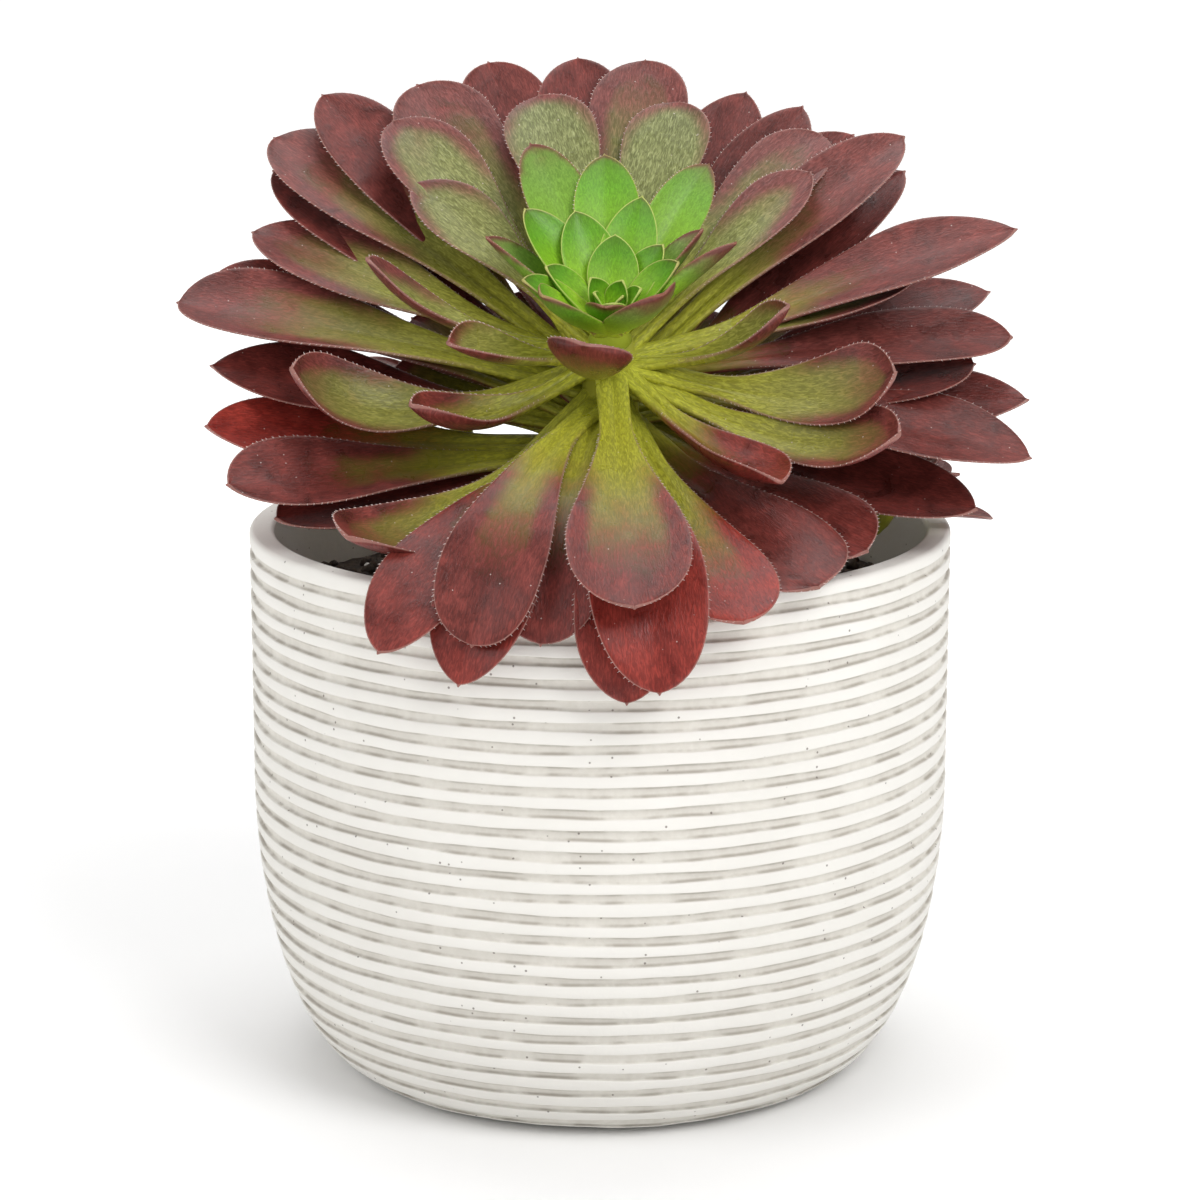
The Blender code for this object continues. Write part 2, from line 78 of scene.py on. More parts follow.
# %% [markdown]
# ## Light
#
# A catalogue photo of a plant is taken on white paper under large soft boxes. The floor,
# which is made last, stands for the paper. The world gives most of the light, evenly. Two
# soft boxes above the front and one overhead make the gloss on the leaves and a faint shadow
# under the pot.

# %% Light
def soft_box(name, place, target, size, power):
    data = bpy.data.lights.new(name, "AREA")
    data.shape = "DISK"
    data.size = size
    data.energy = power
    box = bpy.data.objects.new(name, data)
    box.location = place
    aim = Vector(target) - Vector(place)
    box.rotation_euler = aim.to_track_quat("-Z", "Y").to_euler()
    scene.collection.objects.link(box)


soft_box("key_box", (0.75, -1.00, 1.25), (0.0, 0.0, 0.16), 0.9, 13.0)
soft_box("fill_box", (-1.10, -0.70, 1.05), (0.0, 0.0, 0.16), 1.1, 5.5)
soft_box("top_box", (0.0, 0.35, 1.60), (0.0, 0.0, 0.10), 1.2, 10.0)

WORLD_STRENGTH = 0.54
world = bpy.data.worlds.new("white_room")
world.use_nodes = True
background = world.node_tree.nodes["Background"]
background.inputs["Color"].default_value = (1.0, 1.0, 1.0, 1.0)
background.inputs["Strength"].default_value = WORLD_STRENGTH
scene.world = world
scene.view_settings.view_transform = "Standard"

# %% [markdown]
# ## Small tools for materials
#
# Every finish here is a tree of nodes. These helpers add one node each and join it up, so
# that a finish reads as a short recipe: what varies, how much, and which colours it mixes.

# %% Node helpers
def new_finish(name, roughness):
    """A material with a Principled shader; returns the material, its tree and the shader."""
    finish = bpy.data.materials.new(name)
    finish.use_nodes = True
    tree = finish.node_tree
    shader = tree.nodes["Principled BSDF"]
    shader.inputs["Roughness"].default_value = roughness
    return finish, tree, shader


def feed(tree, socket, value):
    """Join a socket to another node's output, or set it to a plain value."""
    if isinstance(value, bpy.types.NodeSocket):
        tree.links.new(value, socket)
    else:
        socket.default_value = value


def stored(tree, name):
    """A number that was stored at the mesh's vertices."""
    node = tree.nodes.new("ShaderNodeAttribute")
    node.attribute_name = name
    return node.outputs["Fac"]


def sums(tree, operation, a, b=0.0, c=0.0):
    """Arithmetic on up to three numbers or outputs."""
    node = tree.nodes.new("ShaderNodeMath")
    node.operation = operation
    for socket, value in zip(node.inputs, (a, b, c)):
        feed(tree, socket, value)
    return node.outputs[0]


def fade(tree, value, low, high, start=0.0, end=1.0):
    """Map a number from low..high to start..end, eased at both ends."""
    node = tree.nodes.new("ShaderNodeMapRange")
    node.interpolation_type = "SMOOTHSTEP"
    for key, number in zip(("Value", "From Min", "From Max", "To Min", "To Max"),
                           (value, low, high, start, end)):
        feed(tree, node.inputs[key], number)
    return node.outputs["Result"]


def blend_colours(tree, share, first, second, how="MIX"):
    """The first colour at share 0, the second at share 1."""
    node = tree.nodes.new("ShaderNodeMix")
    node.data_type = "RGBA"
    node.blend_type = how
    feed(tree, node.inputs["Factor"], share)
    for key, colour in (("A", first), ("B", second)):
        socket = [s for s in node.inputs if s.name == key and s.type == "RGBA"][0]
        feed(tree, socket, colour if isinstance(colour, bpy.types.NodeSocket) else (*colour, 1.0))
    return [s for s in node.outputs if s.type == "RGBA"][0]


def ramp(tree, value, stops):
    """A colour for each place from 0 to 1, from stops of (place, colour)."""
    node = tree.nodes.new("ShaderNodeValToRGB")
    feed(tree, node.inputs["Fac"], value)
    stops_now = node.color_ramp.elements
    while len(stops_now) < len(stops):
        stops_now.new(0.5)
    for stop, (place, colour) in zip(stops_now, stops):
        stop.position = place
        stop.color = (*colour, 1.0)
    return node.outputs["Color"]


def stretched(tree, vector, scale):
    node = tree.nodes.new("ShaderNodeVectorMath")
    node.operation = "MULTIPLY"
    feed(tree, node.inputs[0], vector)
    node.inputs[1].default_value = scale
    return node.outputs[0]


def clouds(tree, vector, scale, detail=3.0, distortion=0.0):
    """Soft noise from 0 to 1, mostly near 0.5."""
    node = tree.nodes.new("ShaderNodeTexNoise")
    feed(tree, node.inputs["Vector"], vector)
    node.inputs["Scale"].default_value = scale
    node.inputs["Detail"].default_value = detail
    node.inputs["Distortion"].default_value = distortion
    return node.outputs["Fac"]


def specks(tree, vector, scale, size, kept):
    """Small round dots, one in each cell of a random pattern, of which a share is kept."""
    node = tree.nodes.new("ShaderNodeTexVoronoi")
    feed(tree, node.inputs["Vector"], vector)
    node.inputs["Scale"].default_value = scale
    dot = fade(tree, node.outputs["Distance"], size, size * 0.5)
    split = tree.nodes.new("ShaderNodeSeparateColor")
    tree.links.new(node.outputs["Color"], split.inputs[0])
    return sums(tree, "MULTIPLY", dot, sums(tree, "LESS_THAN", split.outputs[0], kept))


def relief(tree, shader, height, strength, distance):
    """Bend the light over a height that is too fine for the mesh."""
    node = tree.nodes.new("ShaderNodeBump")
    node.inputs["Strength"].default_value = strength
    node.inputs["Distance"].default_value = distance
    feed(tree, node.inputs["Height"], height)
    tree.links.new(node.outputs["Normal"], shader.inputs["Normal"])


def place_coordinates(tree):
    return tree.nodes.new("ShaderNodeTexCoord").outputs["Object"]


# %% [markdown]
# ## Small tools for meshes
#
# A leaf, a stem, a hair and a pot are all made of rings of points that are joined one to the
# next. One gatherer takes such stacks of rings, closes their ends and keeps a few named
# numbers at every point, which the finishes read later. That is lighter than an object for
# each of some thousands of hairs.

# %% Ring helpers
class Gatherer:
    """Collects closed bodies made of rings, with named numbers at each point."""

    def __init__(self):
        self.points = []
        self.faces = []
        self.values = {}
        self.count = 0

    def add(self, rings, values=None):
        """rings is an array of rings x points x 3, in metres."""
        rows, columns, _ = rings.shape
        index = np.arange(rows * columns).reshape(rows, columns) + self.count
        ahead = np.roll(index, -1, axis=1)
        quads = np.stack((index[:-1], ahead[:-1], ahead[1:], index[1:]), axis=-1)
        self.faces.extend(quads.reshape(-1, 4).tolist())
        self.faces.append(index[0][::-1].tolist())
        self.faces.append(index[-1].tolist())
        self.points.append(rings.reshape(-1, 3))
        for key, numbers in (values or {}).items():
            spread = np.broadcast_to(numbers, (rows, columns)).reshape(-1)
            self.values.setdefault(key, []).append(spread.astype(np.float32))
        self.count += rows * columns

    def piece(self, name, finish):
        mesh = bpy.data.meshes.new(name)
        mesh.from_pydata(np.concatenate(self.points).tolist(), [], self.faces)
        mesh.materials.append(finish)
        mesh.shade_smooth()
        for key, parts in self.values.items():
            layer = mesh.attributes.new(key, "FLOAT", "POINT")
            layer.data.foreach_set("value", np.concatenate(parts))
        made = bpy.data.objects.new(name, mesh)
        scene.collection.objects.link(made)
        print(name, len(mesh.polygons), "faces")
        return made


def settle(made, node):
    """The piece rides with the one body and, where it stands for a solid, hides that solid."""
    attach(made, "root")
    if node:
        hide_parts(node)


def wave(x, y, z, seed):
    """Smooth noise from -1 to 1."""
    return noise.noise(Vector((x, y, z)) + Vector((seed * 7.3, seed * 3.1, seed * 1.7)))


# %% [markdown]
# ## The pot
#
# The pot was turned or cast with level grooves all the way down. Between them stand flat
# bands, about three and a half millimetres high, whose edges wander a little, as if they had
# been cut by hand. A profile that runs up the outside, over the lip and down the inside is
# turned round the pot's axis. The edges of the bands are then moved up and down by a slow
# noise that is different for each groove, which a plain turned form would not have.

# %% Pot sizes
pot_low, pot_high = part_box("pot")
POT_HEIGHT = pot_high.z / MM
POT_RADIUS = 105.0
POT_FOOT_RADIUS = 72.0
POT_CURVE_HEIGHT = 90.0
POT_WALL = 7.5
POT_FLOOR = 9.0
POT_INSIDE_RISE = 3.0
POT_INSIDE_LEVELS = (150.0, 136.0, 110.0, POT_CURVE_HEIGHT, 70.0, 50.0, 34.0, 22.0, 14.0)
GROOVE_COUNT = 26
GROOVE_PITCH = 6.2
GROOVE_WIDTH = 2.7
FIRST_GROOVE_DROP = 5.5
LIP_ROUND = 1.6
LIP_STEPS = 5
POT_TURNS = 256
# How a band's edges wander up and down, as (how far, how quickly), and how far they swell
WANDERS = ((0.62, 2.2), (0.24, 9))
SWELL = 0.10
# What a place outside the grooves holds: neither deep nor dark, and on no band's edge
PLAIN = (0.0, 0.0, -1)
print("pot height", round(POT_HEIGHT, 2))


# %% Pot profile
def pot_outer_radius(height):
    if height >= POT_CURVE_HEIGHT:
        return POT_RADIUS
    fall = 1.0 - max(height, 0.0) / POT_CURVE_HEIGHT
    return POT_FOOT_RADIUS + (POT_RADIUS - POT_FOOT_RADIUS) * math.sqrt(1.0 - fall * fall)


def groove_rows(k):
    """One groove from its lower edge up: (height, sink, how deep, painted shade, which edge)."""
    middle = POT_HEIGHT - FIRST_GROOVE_DROP - k * GROOVE_PITCH
    half = 0.5 * GROOVE_WIDTH
    shape = ((-half - 0.40, 0.00, 0.0, 0.0), (-half - 0.08, 0.10, 0.0, 0.2),
             (-half + 0.05, 0.50, 0.6, 0.8), (-half + 0.22, 1.05, 1.0, 1.0),
             (-0.45, 1.20, 1.0, 0.1), (0.45, 1.20, 1.0, 0.1),
             (half - 0.22, 1.05, 1.0, 1.0), (half - 0.05, 0.50, 0.6, 0.8),
             (half + 0.08, 0.10, 0.0, 0.2), (half + 0.40, 0.00, 0.0, 0.0))
    return [(middle + rise, sink, deep, dark, 2 * k + (rise > 0))
            for rise, sink, deep, dark in shape]


def pot_rows():
    """The whole profile from the middle of the underside, round the lip, to the inner floor."""
    rows = [(0.5, 0.3, *PLAIN), (POT_FOOT_RADIUS - 3.0, 0.3, *PLAIN),
            (POT_FOOT_RADIUS - 1.6, 0.0, *PLAIN), (POT_FOOT_RADIUS - 0.5, 0.0, *PLAIN)]
    for k in reversed(range(GROOVE_COUNT)):
        for height, sink, deep, dark, edge in groove_rows(k):
            if height > 0.4:
                rows.append((pot_outer_radius(height) - sink, height, deep, dark, edge))
    inner = POT_RADIUS - POT_WALL
    quarter = [0.5 * math.pi * step / LIP_STEPS for step in range(LIP_STEPS + 1)]
    for a in quarter:
        rows.append((POT_RADIUS - LIP_ROUND * (1.0 - math.cos(a)),
                     POT_HEIGHT - LIP_ROUND * (1.0 - math.sin(a)), *PLAIN))
    for a in quarter:
        rows.append((inner + LIP_ROUND * (1.0 - math.sin(a)),
                     POT_HEIGHT - LIP_ROUND * (1.0 - math.cos(a)), *PLAIN))
    for height in POT_INSIDE_LEVELS:
        outer = pot_outer_radius(max(height - POT_INSIDE_RISE, 0.0))
        rows.append((outer - POT_WALL, height, *PLAIN))
    rows.append((60.0, POT_FLOOR, *PLAIN))
    rows.append((0.5, POT_FLOOR, *PLAIN))
    return rows


def make_pot(finish):
    turns = np.arange(POT_TURNS) * 2.0 * math.pi / POT_TURNS
    rings, deeps, darks = [], [], []
    for radius, height, deep, dark, edge in pot_rows():
        ring = []
        for a in turns:
            x, y = math.cos(a), math.sin(a)
            wander, swell = 0.0, 0.0
            if edge >= 0:
                for far, pace in WANDERS:
                    wander += far * wave(pace * x, pace * y, 0.0, edge)
                swell = SWELL * wave(5 * x, 5 * y, height * 0.2, 90)
            ring.append(((radius + swell) * x, (radius + swell) * y, height + wander))
        rings.append(ring)
        deeps.append([deep] * POT_TURNS)
        darks.append([dark] * POT_TURNS)
    body = Gatherer()
    body.add(np.array(rings) * MM, {"deep": np.array(deeps), "dark": np.array(darks)})
    return body.piece("pot_body", finish)


# %% [markdown]
# The clay is off-white and dry. The bands are the lightest. The grooves are painted a darker
# grey-beige, as painted shade, with a thin dark line of painted shade in each corner, and a
# few pinholes are left from casting.
# The numbers that were stored on the profile say where the grooves and their corners are, so
# the finish follows them exactly, and noise breaks it up.

# %% Pot finish
def clay_finish():
    finish, tree, shader = new_finish("pot_clay", 0.82)
    place = place_coordinates(tree)
    deep = stored(tree, "deep")
    dark = stored(tree, "dark")
    broad = clouds(tree, place, 30.0, 4.0)
    fine = clouds(tree, place, 420.0, 5.0)
    band = blend_colours(tree, broad, (0.73, 0.71, 0.66), (0.82, 0.80, 0.76))
    # Painted shade: the grooves are painted a darker grey-beige than the bands.
    wash = blend_colours(tree, fine, (0.62, 0.59, 0.53), (0.77, 0.745, 0.69))
    colour = blend_colours(tree, deep, band, wash)
    # Painted shade: a thin dark line along the corners of each groove, broken up by noise.
    painted_corner_shade = sums(tree, "MULTIPLY", dark, fade(tree, clouds(tree, place, 90.0, 5.0), 0.38, 0.62))
    colour = blend_colours(tree, sums(tree, "MULTIPLY", painted_corner_shade, 0.62), colour, (0.24, 0.20, 0.155))
    pits = specks(tree, place, 330.0, 0.15, 0.22)
    colour = blend_colours(tree, sums(tree, "MULTIPLY", pits, 0.8), colour, (0.17, 0.14, 0.12))
    tree.links.new(colour, shader.inputs["Base Color"])
    grain = sums(tree, "SUBTRACT", fine, sums(tree, "MULTIPLY", pits, 1.5))
    relief(tree, shader, grain, 0.35, 0.0004)
    return finish


settle(make_pot(clay_finish()), "pot")

# %% [markdown]
# ## The soil
#
# Potting mix fills the pot to about two centimetres under the rim. Its top is crumbly: a
# noise lifts and sinks a disc of rings, and loose crumbs with a few white grains of perlite
# lie half sunk on it. The crumbs are small faceted bodies with random sizes and turns.

# %% Soil sizes
SOIL_LEVEL = 143.0
SOIL_GAP = 0.45
SOIL_RADIUS = POT_RADIUS - POT_WALL - SOIL_GAP
SOIL_SIDE_LEVELS = (POT_FLOOR + SOIL_GAP, 16.0, 30.0, 55.0, POT_CURVE_HEIGHT)
SOIL_TURNS = 150
SOIL_RINGS = 48
# A crumb's rings, as (height, radius), in shares of its size
CRUMB_ROWS = ((-0.5, 0.35), (-0.15, 0.62), (0.3, 0.5), (0.55, 0.2))
SIXTH_TURN = 1.0472
# Crumbs and white grains, as (count, least and greatest size, seed)
CRUMBS = (1100, (1.2, 4.2), 3)
GRAINS = (70, (1.4, 3.0), 4)


def soil_height(x, y):
    """The height of the uneven top at a place, in millimetres."""
    spread = math.hypot(x, y) / SOIL_RADIUS
    rise = 2.0 - 4.0 * spread * spread
    rise += 1.5 * wave(x * 0.05, y * 0.05, 0.0, 11) + 0.8 * wave(x * 0.16, y * 0.16, 0.0, 12)
    return SOIL_LEVEL + rise + 0.4 * wave(x * 0.5, y * 0.5, 0.0, 13)


# %% Soil body
def make_soil(finish):
    turns = np.arange(SOIL_TURNS) * 2.0 * math.pi / SOIL_TURNS
    rings = []
    for height in SOIL_SIDE_LEVELS:
        radius = pot_outer_radius(max(height - POT_INSIDE_RISE, 0.0)) - POT_WALL - SOIL_GAP
        rings.append([(radius * math.cos(a), radius * math.sin(a), height) for a in turns])
    for step in range(SOIL_RINGS):
        radius = SOIL_RADIUS * (1.0 - step / SOIL_RINGS)
        rings.append([(radius * math.cos(a), radius * math.sin(a),
                       soil_height(radius * math.cos(a), radius * math.sin(a))) for a in turns])
    body = Gatherer()
    body.add(np.array(rings) * MM, {"grain": 0.0})
    return body.piece("soil_body", finish)


def crumb(rng, size):
    """A lump of four six-sided rings, roughly as wide as it is high."""
    rings = []
    for height, radius in CRUMB_ROWS:
        ring = [(radius * math.cos(k * SIXTH_TURN) * rng.uniform(0.7, 1.2),
                 radius * math.sin(k * SIXTH_TURN) * rng.uniform(0.7, 1.2),
                 height * rng.uniform(0.8, 1.1)) for k in range(6)]
        rings.append(ring)
    angle = rng.uniform(0, 6.28)
    turn = Matrix.Rotation(angle, 3, Vector(rng.normal(size=3)).normalized())
    return (np.array(rings) * size) @ np.array(turn).T


def scatter_crumbs(finish, name, count, sizes, seed):
    rng = np.random.default_rng(seed)
    body = Gatherer()
    for _ in range(count):
        radius = (SOIL_RADIUS - 3.0) * math.sqrt(rng.uniform(0.0, 1.0))
        a = rng.uniform(0.0, 2.0 * math.pi)
        size = rng.uniform(*sizes)
        x, y = radius * math.cos(a), radius * math.sin(a)
        centre = np.array((x, y, soil_height(x, y) + 0.15 * size))
        body.add((crumb(rng, size) + centre) * MM)
    return body.piece(name, finish)


# %% Soil finish
def peat_finish():
    finish, tree, shader = new_finish("peat", 0.95)
    place = place_coordinates(tree)
    lumps = clouds(tree, place, 260.0, 6.0)
    colour = ramp(tree, lumps, ((0.3, (0.012, 0.008, 0.006)), (0.55, (0.045, 0.030, 0.020)),
                                (0.75, (0.11, 0.075, 0.045))))
    tree.links.new(colour, shader.inputs["Base Color"])
    relief(tree, shader, clouds(tree, place, 900.0, 6.0), 0.9, 0.001)
    return finish


def perlite_finish():
    finish, tree, shader = new_finish("perlite", 0.9)
    place = place_coordinates(tree)
    colour = blend_colours(tree, clouds(tree, place, 500.0), (0.50, 0.48, 0.43), (0.75, 0.74, 0.70))
    tree.links.new(colour, shader.inputs["Base Color"])
    relief(tree, shader, clouds(tree, place, 1500.0), 0.6, 0.0005)
    return finish


peat = peat_finish()
settle(make_soil(peat), "soil")
settle(scatter_crumbs(peat, "soil_crumbs", *CRUMBS), None)
settle(scatter_crumbs(perlite_finish(), "soil_perlite", *GRAINS), None)

# %% [markdown]
# ## The stem
#
# A semponium's stem is woody and as thick as a finger. Every leaf that has dropped has left a
# low, flat scar, so the stem is covered in a spiral of them. The tube follows the same bend
# as the solid: upright out of the soil, then over to the rosette's axis.

# %% The rosette's own frame
ROSETTE_CENTRE = Vector((3.0, -22.0, 218.0))
ROSETTE_LEAN = 30.0
CROWN_FOOT = -42.0
CROWN_TOP = 7.0
CROWN_RADIUS = 9.0
STEM_RADIUS = 8.5
GOLDEN_ANGLE = 137.5


def axis_frame(centre, lean, heading):
    """A frame whose Z leans from the upright towards a heading."""
    turn = Matrix.Rotation(math.radians(heading), 4, "Z")
    tip = Matrix.Rotation(math.radians(lean), 4, "Y")
    back = Matrix.Rotation(math.radians(-heading), 4, "Z")
    return Matrix.Translation(centre) @ turn @ tip @ back


rosette = axis_frame(ROSETTE_CENTRE, ROSETTE_LEAN, -90.0)
print("rosette axis", [round(x, 3) for x in rosette.to_3x3() @ Vector((0, 0, 1))])


# %% Bent stems
def bent_path(foot, top, axis, steps, straight=4.0):
    """Points from in the soil up to the top, along its axis at the end."""
    start = Vector((foot[0], foot[1], SOIL_LEVEL + 5.0))
    reach = (top - start).length * 0.4
    end = top - axis * straight
    controls = (start, start + Vector((0.0, 0.0, reach)), end - axis * reach, end)
    points = [start - Vector((0.0, 0.0, 25.0)), start - Vector((0.0, 0.0, 10.0))]
    for k in range(steps + 1):
        t = k / steps
        weights = ((1 - t) ** 3, 3 * t * (1 - t) ** 2, 3 * t * t * (1 - t), t ** 3)
        points.append(sum((c * w for c, w in zip(controls, weights)), Vector()))
    return points + [top]


def stem_rings(points, radius_at, sides):
    """Rings round a path; radius_at gives the radius from how far along and round it is."""
    rings = []
    side = Vector((1.0, 0.0, 0.0))
    gone = 0.0
    for k, point in enumerate(points):
        before = points[max(k - 1, 0)]
        after = points[min(k + 1, len(points) - 1)]
        heading = (after - before).normalized()
        side = (side - heading * side.dot(heading)).normalized()
        other = heading.cross(side)
        if k:
            gone += (point - before).length
        ring = []
        for j in range(sides):
            a = 2.0 * math.pi * j / sides
            out = side * math.cos(a) + other * math.sin(a)
            ring.append(point + out * radius_at(gone, a))
        rings.append(ring)
    return np.array(rings)


def scarred(radius, spacing):
    """A stem's radius with a spiral of low leaf scars."""
    def at(gone, a):
        best = 0.0
        k = round(gone / spacing)
        for n in range(k - 6, k + 7):
            turn = (a - math.radians(n * GOLDEN_ANGLE) + math.pi) % (2.0 * math.pi) - math.pi
            up = gone - n * spacing
            inside = 1.0 - (up / (0.22 * radius)) ** 2 - (turn * radius / (0.55 * radius)) ** 2
            best = max(best, min(inside * 2.5, 1.0))
        return radius * (0.93 + 0.06 * best) + 0.12 * wave(gone * 0.4, a * 3.0, 0.0, 5)
    return at


# %% Main stem
MAIN_STEM_FOOT = (1.0, 8.0)
SCAR_SPACING = 1.1
STEM_OVERLAP = 6.0
MAIN_STEM_STEPS = 90
MAIN_STEM_SIDES = 72


def make_main_stem(finish):
    """The stem ends inside the crown, so that no gap shows between the two."""
    axis = (rosette.to_3x3() @ Vector((0.0, 0.0, 1.0))).normalized()
    top = rosette @ Vector((0.0, 0.0, CROWN_FOOT + STEM_OVERLAP))
    points = bent_path(MAIN_STEM_FOOT, top, axis, MAIN_STEM_STEPS)
    body = Gatherer()
    body.add(stem_rings(points, scarred(STEM_RADIUS, SCAR_SPACING), MAIN_STEM_SIDES) * MM)
    return body.piece("stem_bark", finish)


def bark_finish():
    finish, tree, shader = new_finish("stem_bark", 0.8)
    place = place_coordinates(tree)
    streaks = clouds(tree, stretched(tree, place, (1.0, 1.0, 0.3)), 420.0, 6.0, 0.6)
    colour = ramp(tree, streaks, ((0.30, (0.060, 0.040, 0.022)), (0.52, (0.19, 0.145, 0.080)),
                                  (0.72, (0.30, 0.26, 0.17))))
    tree.links.new(colour, shader.inputs["Base Color"])
    relief(tree, shader, streaks, 0.7, 0.0006)
    return finish


settle(make_main_stem(bark_finish()), "main_stem")

# %% [markdown]
# ## One leaf
#
# A leaf starts as a slim fleshy stalk, widens to a spoon towards its end, and closes round or
# pointed. It is thick in the middle, its edges turn up, and it bends along its length. So it
# is built as rings round a bent line: each ring is a flattened oval, bent up along an arc,
# with a shallow crease along its upper face. The points crowd towards the edges and the tip,
# where the outline turns fastest. Each point also stores how far along the leaf it is, how far
# from the edge, and its place on the leaf in millimetres, so that the finish can follow it.

# %% Leaf outline
PETIOLE_SHARE = 0.27
YOUNG_PETIOLE_SHARE = 0.55
TIP_SHARE = 0.04
PATH_STEPS = 40
TIP_POINT = 0.8


def half_widths(shares, width, petiole, point, young=0.0):
    """Half the width at each share of the length, for a round tip (point 0) or a sharp one (1)."""
    widens_from = 0.28 - 0.06 * point - 0.22 * young
    widest_at = 0.84 - 0.13 * point - 0.22 * young
    t = np.clip((shares - widens_from) / (widest_at - widens_from), 0.0, 1.0)
    stalk = petiole + (1.0 - petiole) * t * t * (3.0 - 2.0 * t)
    u = np.clip((shares - widest_at) / (1.0 - widest_at), 0.0, 1.0)
    spoon = np.maximum((1.0 - u ** (2.3 - 0.3 * point)) ** (0.5 + 0.32 * point), TIP_SHARE)
    return 0.5 * width * np.where(shares < widest_at, stalk, spoon)


def pitches(shares, lift, arch):
    """How steeply the leaf's line climbs at each share of its length, in radians."""
    return np.radians(lift + arch * (1.0 - 2.0 * shares * shares))


def middle_line(direction, length, lift, arch, start_radius, height, shares):
    """Points on the leaf's line, and its heading there, in the rosette's frame."""
    turn = math.radians(direction)
    outward = np.array((math.cos(turn), math.sin(turn), 0.0))
    up = np.array((0.0, 0.0, 1.0))
    steps = pitches(np.arange(PATH_STEPS) / PATH_STEPS, lift, arch)
    moves = np.outer(np.cos(steps), outward) + np.outer(np.sin(steps), up)
    line = np.vstack((np.zeros(3), np.cumsum(moves * length / PATH_STEPS, axis=0)))
    line += outward * start_radius + up * height
    known = np.arange(PATH_STEPS + 1) / PATH_STEPS
    points = np.stack([np.interp(shares, known, line[:, k]) for k in range(3)], axis=1)
    here = pitches(shares, lift, arch)
    headings = np.outer(np.cos(here), outward) + np.outer(np.sin(here), up)
    return points, headings


# %% Leaf surface
class LeafForm:
    """What a leaf's kind settles: its points, thickness, stalk, age and how far it ripples."""

    def __init__(self, rows, around, thickness, petiole, young, ripple=0.5):
        self.rows = rows
        self.around = around
        self.thickness = thickness
        self.petiole = petiole
        self.young = young
        self.ripple = ripple


GROWN = LeafForm(40, 30, 3.4, PETIOLE_SHARE, 0.0)
COLLAR = LeafForm(32, 26, 2.8, YOUNG_PETIOLE_SHARE, 0.7, 0.2)
HEART = LeafForm(26, 22, 2.2, YOUNG_PETIOLE_SHARE, 1.0, 0.1)
BUD = LeafForm(20, 18, 1.8, YOUNG_PETIOLE_SHARE, 1.0, 0.0)
SHOOT = LeafForm(22, 16, 2.4, PETIOLE_SHARE, 0.4, 0.2)


def cupped(half, cup, across):
    """Where the points across a leaf go when it is bent up into a part of a circle."""
    angle = 2.0 * np.arctan(np.maximum(cup, 0.02))
    radius = half / angle
    swung = np.outer(angle, across)
    return radius[:, None] * np.sin(swung), radius[:, None] * (1.0 - np.cos(swung)), swung


def add_last(grid):
    """The tip's ring takes the numbers of the ring before it."""
    return np.vstack((grid, grid[-1:]))


def leaf_surface(leaf, form, base, start_radius, seed):
    """A leaf as rings of points in metres, its stored numbers, and its two edges."""
    direction, height, length, width, lift, arch, roll, cup, point = leaf
    shares = 1.0 - (1.0 - np.linspace(0.0, 1.0, form.rows)) ** 1.5
    points, headings = middle_line(direction, length, lift, arch, start_radius, height, shares)
    turn = math.radians(direction)
    flat = np.array((math.sin(turn), -math.cos(turn), 0.0))
    bow = form.ripple * 0.07 * length * math.sin(seed * 5.1)
    points = points + flat * (bow * shares * (1.0 - shares))[:, None]
    rolled = np.radians(roll) * np.minimum(shares * 2.0, 1.0)
    rolled += math.radians(8.0) * form.ripple * np.sin(seed * 2.3 + shares * 4.0) * shares
    sides = np.cos(rolled)[:, None] * flat + np.sin(rolled)[:, None] * np.cross(headings, flat)
    normals = np.cross(sides, headings)
    half = half_widths(shares, width, form.petiole, point, form.young)
    thick = np.maximum(form.thickness * (1.25 - 0.85 * shares), 1.0)
    bend = np.maximum(cup, 0.3 * (1.0 - shares)) * np.minimum(0.5 + shares * 2.0, 1.0)
    around = np.arange(form.around) * 2.0 * math.pi / form.around
    across, rise = np.cos(around), np.sin(around)
    x, z, swung = cupped(half, bend, across)
    plump = np.sign(rise) * np.abs(rise) ** 0.8 * np.where(rise > 0.0, 0.42, 0.55)
    crease = 0.30 * np.exp(-((across / 0.16) ** 2)) * (rise > 0.0)
    swing = np.sin(np.outer(shares * length / 9.0, np.ones_like(across)) + seed + 2.0 * across)
    ruffle = form.ripple * swing * np.abs(across) ** 3 * shares[:, None]
    fleshy = np.outer(thick, plump - crease)
    x = x * (1.0 + 0.04 * form.ripple * np.sin(3.0 * shares * length / 20.0 + seed))[:, None]
    x = x - fleshy * np.sin(swung)
    z = z + fleshy * np.cos(swung) + ruffle
    tip_end = points[-1] + headings[-1] * TIP_POINT * min(1.0, length / 60.0)
    rings = points[:, None] + sides[:, None] * x[..., None] + normals[:, None] * z[..., None]
    tip_ring = tip_end + (rings[-1] - points[-1]) * 0.25
    rings = np.concatenate((rings, tip_ring[None]))
    turned = np.array(base.to_3x3())
    world = (rings @ turned.T + np.array(base.translation)) * MM
    slope = np.gradient(half, shares * length)
    margin = np.outer(half / np.sqrt(1.0 + slope * slope), 1.0 - np.abs(across))
    values = {
        "along": add_last(np.outer(shares, np.ones_like(across))),
        "margin": add_last(margin),
        "skin_x": add_last(x) + seed * 41.0,
        "skin_y": add_last(np.outer(shares * length, np.ones_like(across))) + seed * 23.0,
        "under": add_last(np.outer(np.ones_like(shares), rise < -0.05)).astype(float),
    }
    edges = [(world[:-1, 0], 1.0), (world[:-1, form.around // 2], -1.0)]
    outs = sides @ turned.T
    return world, values, [(line, outs * sign, headings @ turned.T) for line, sign in edges]


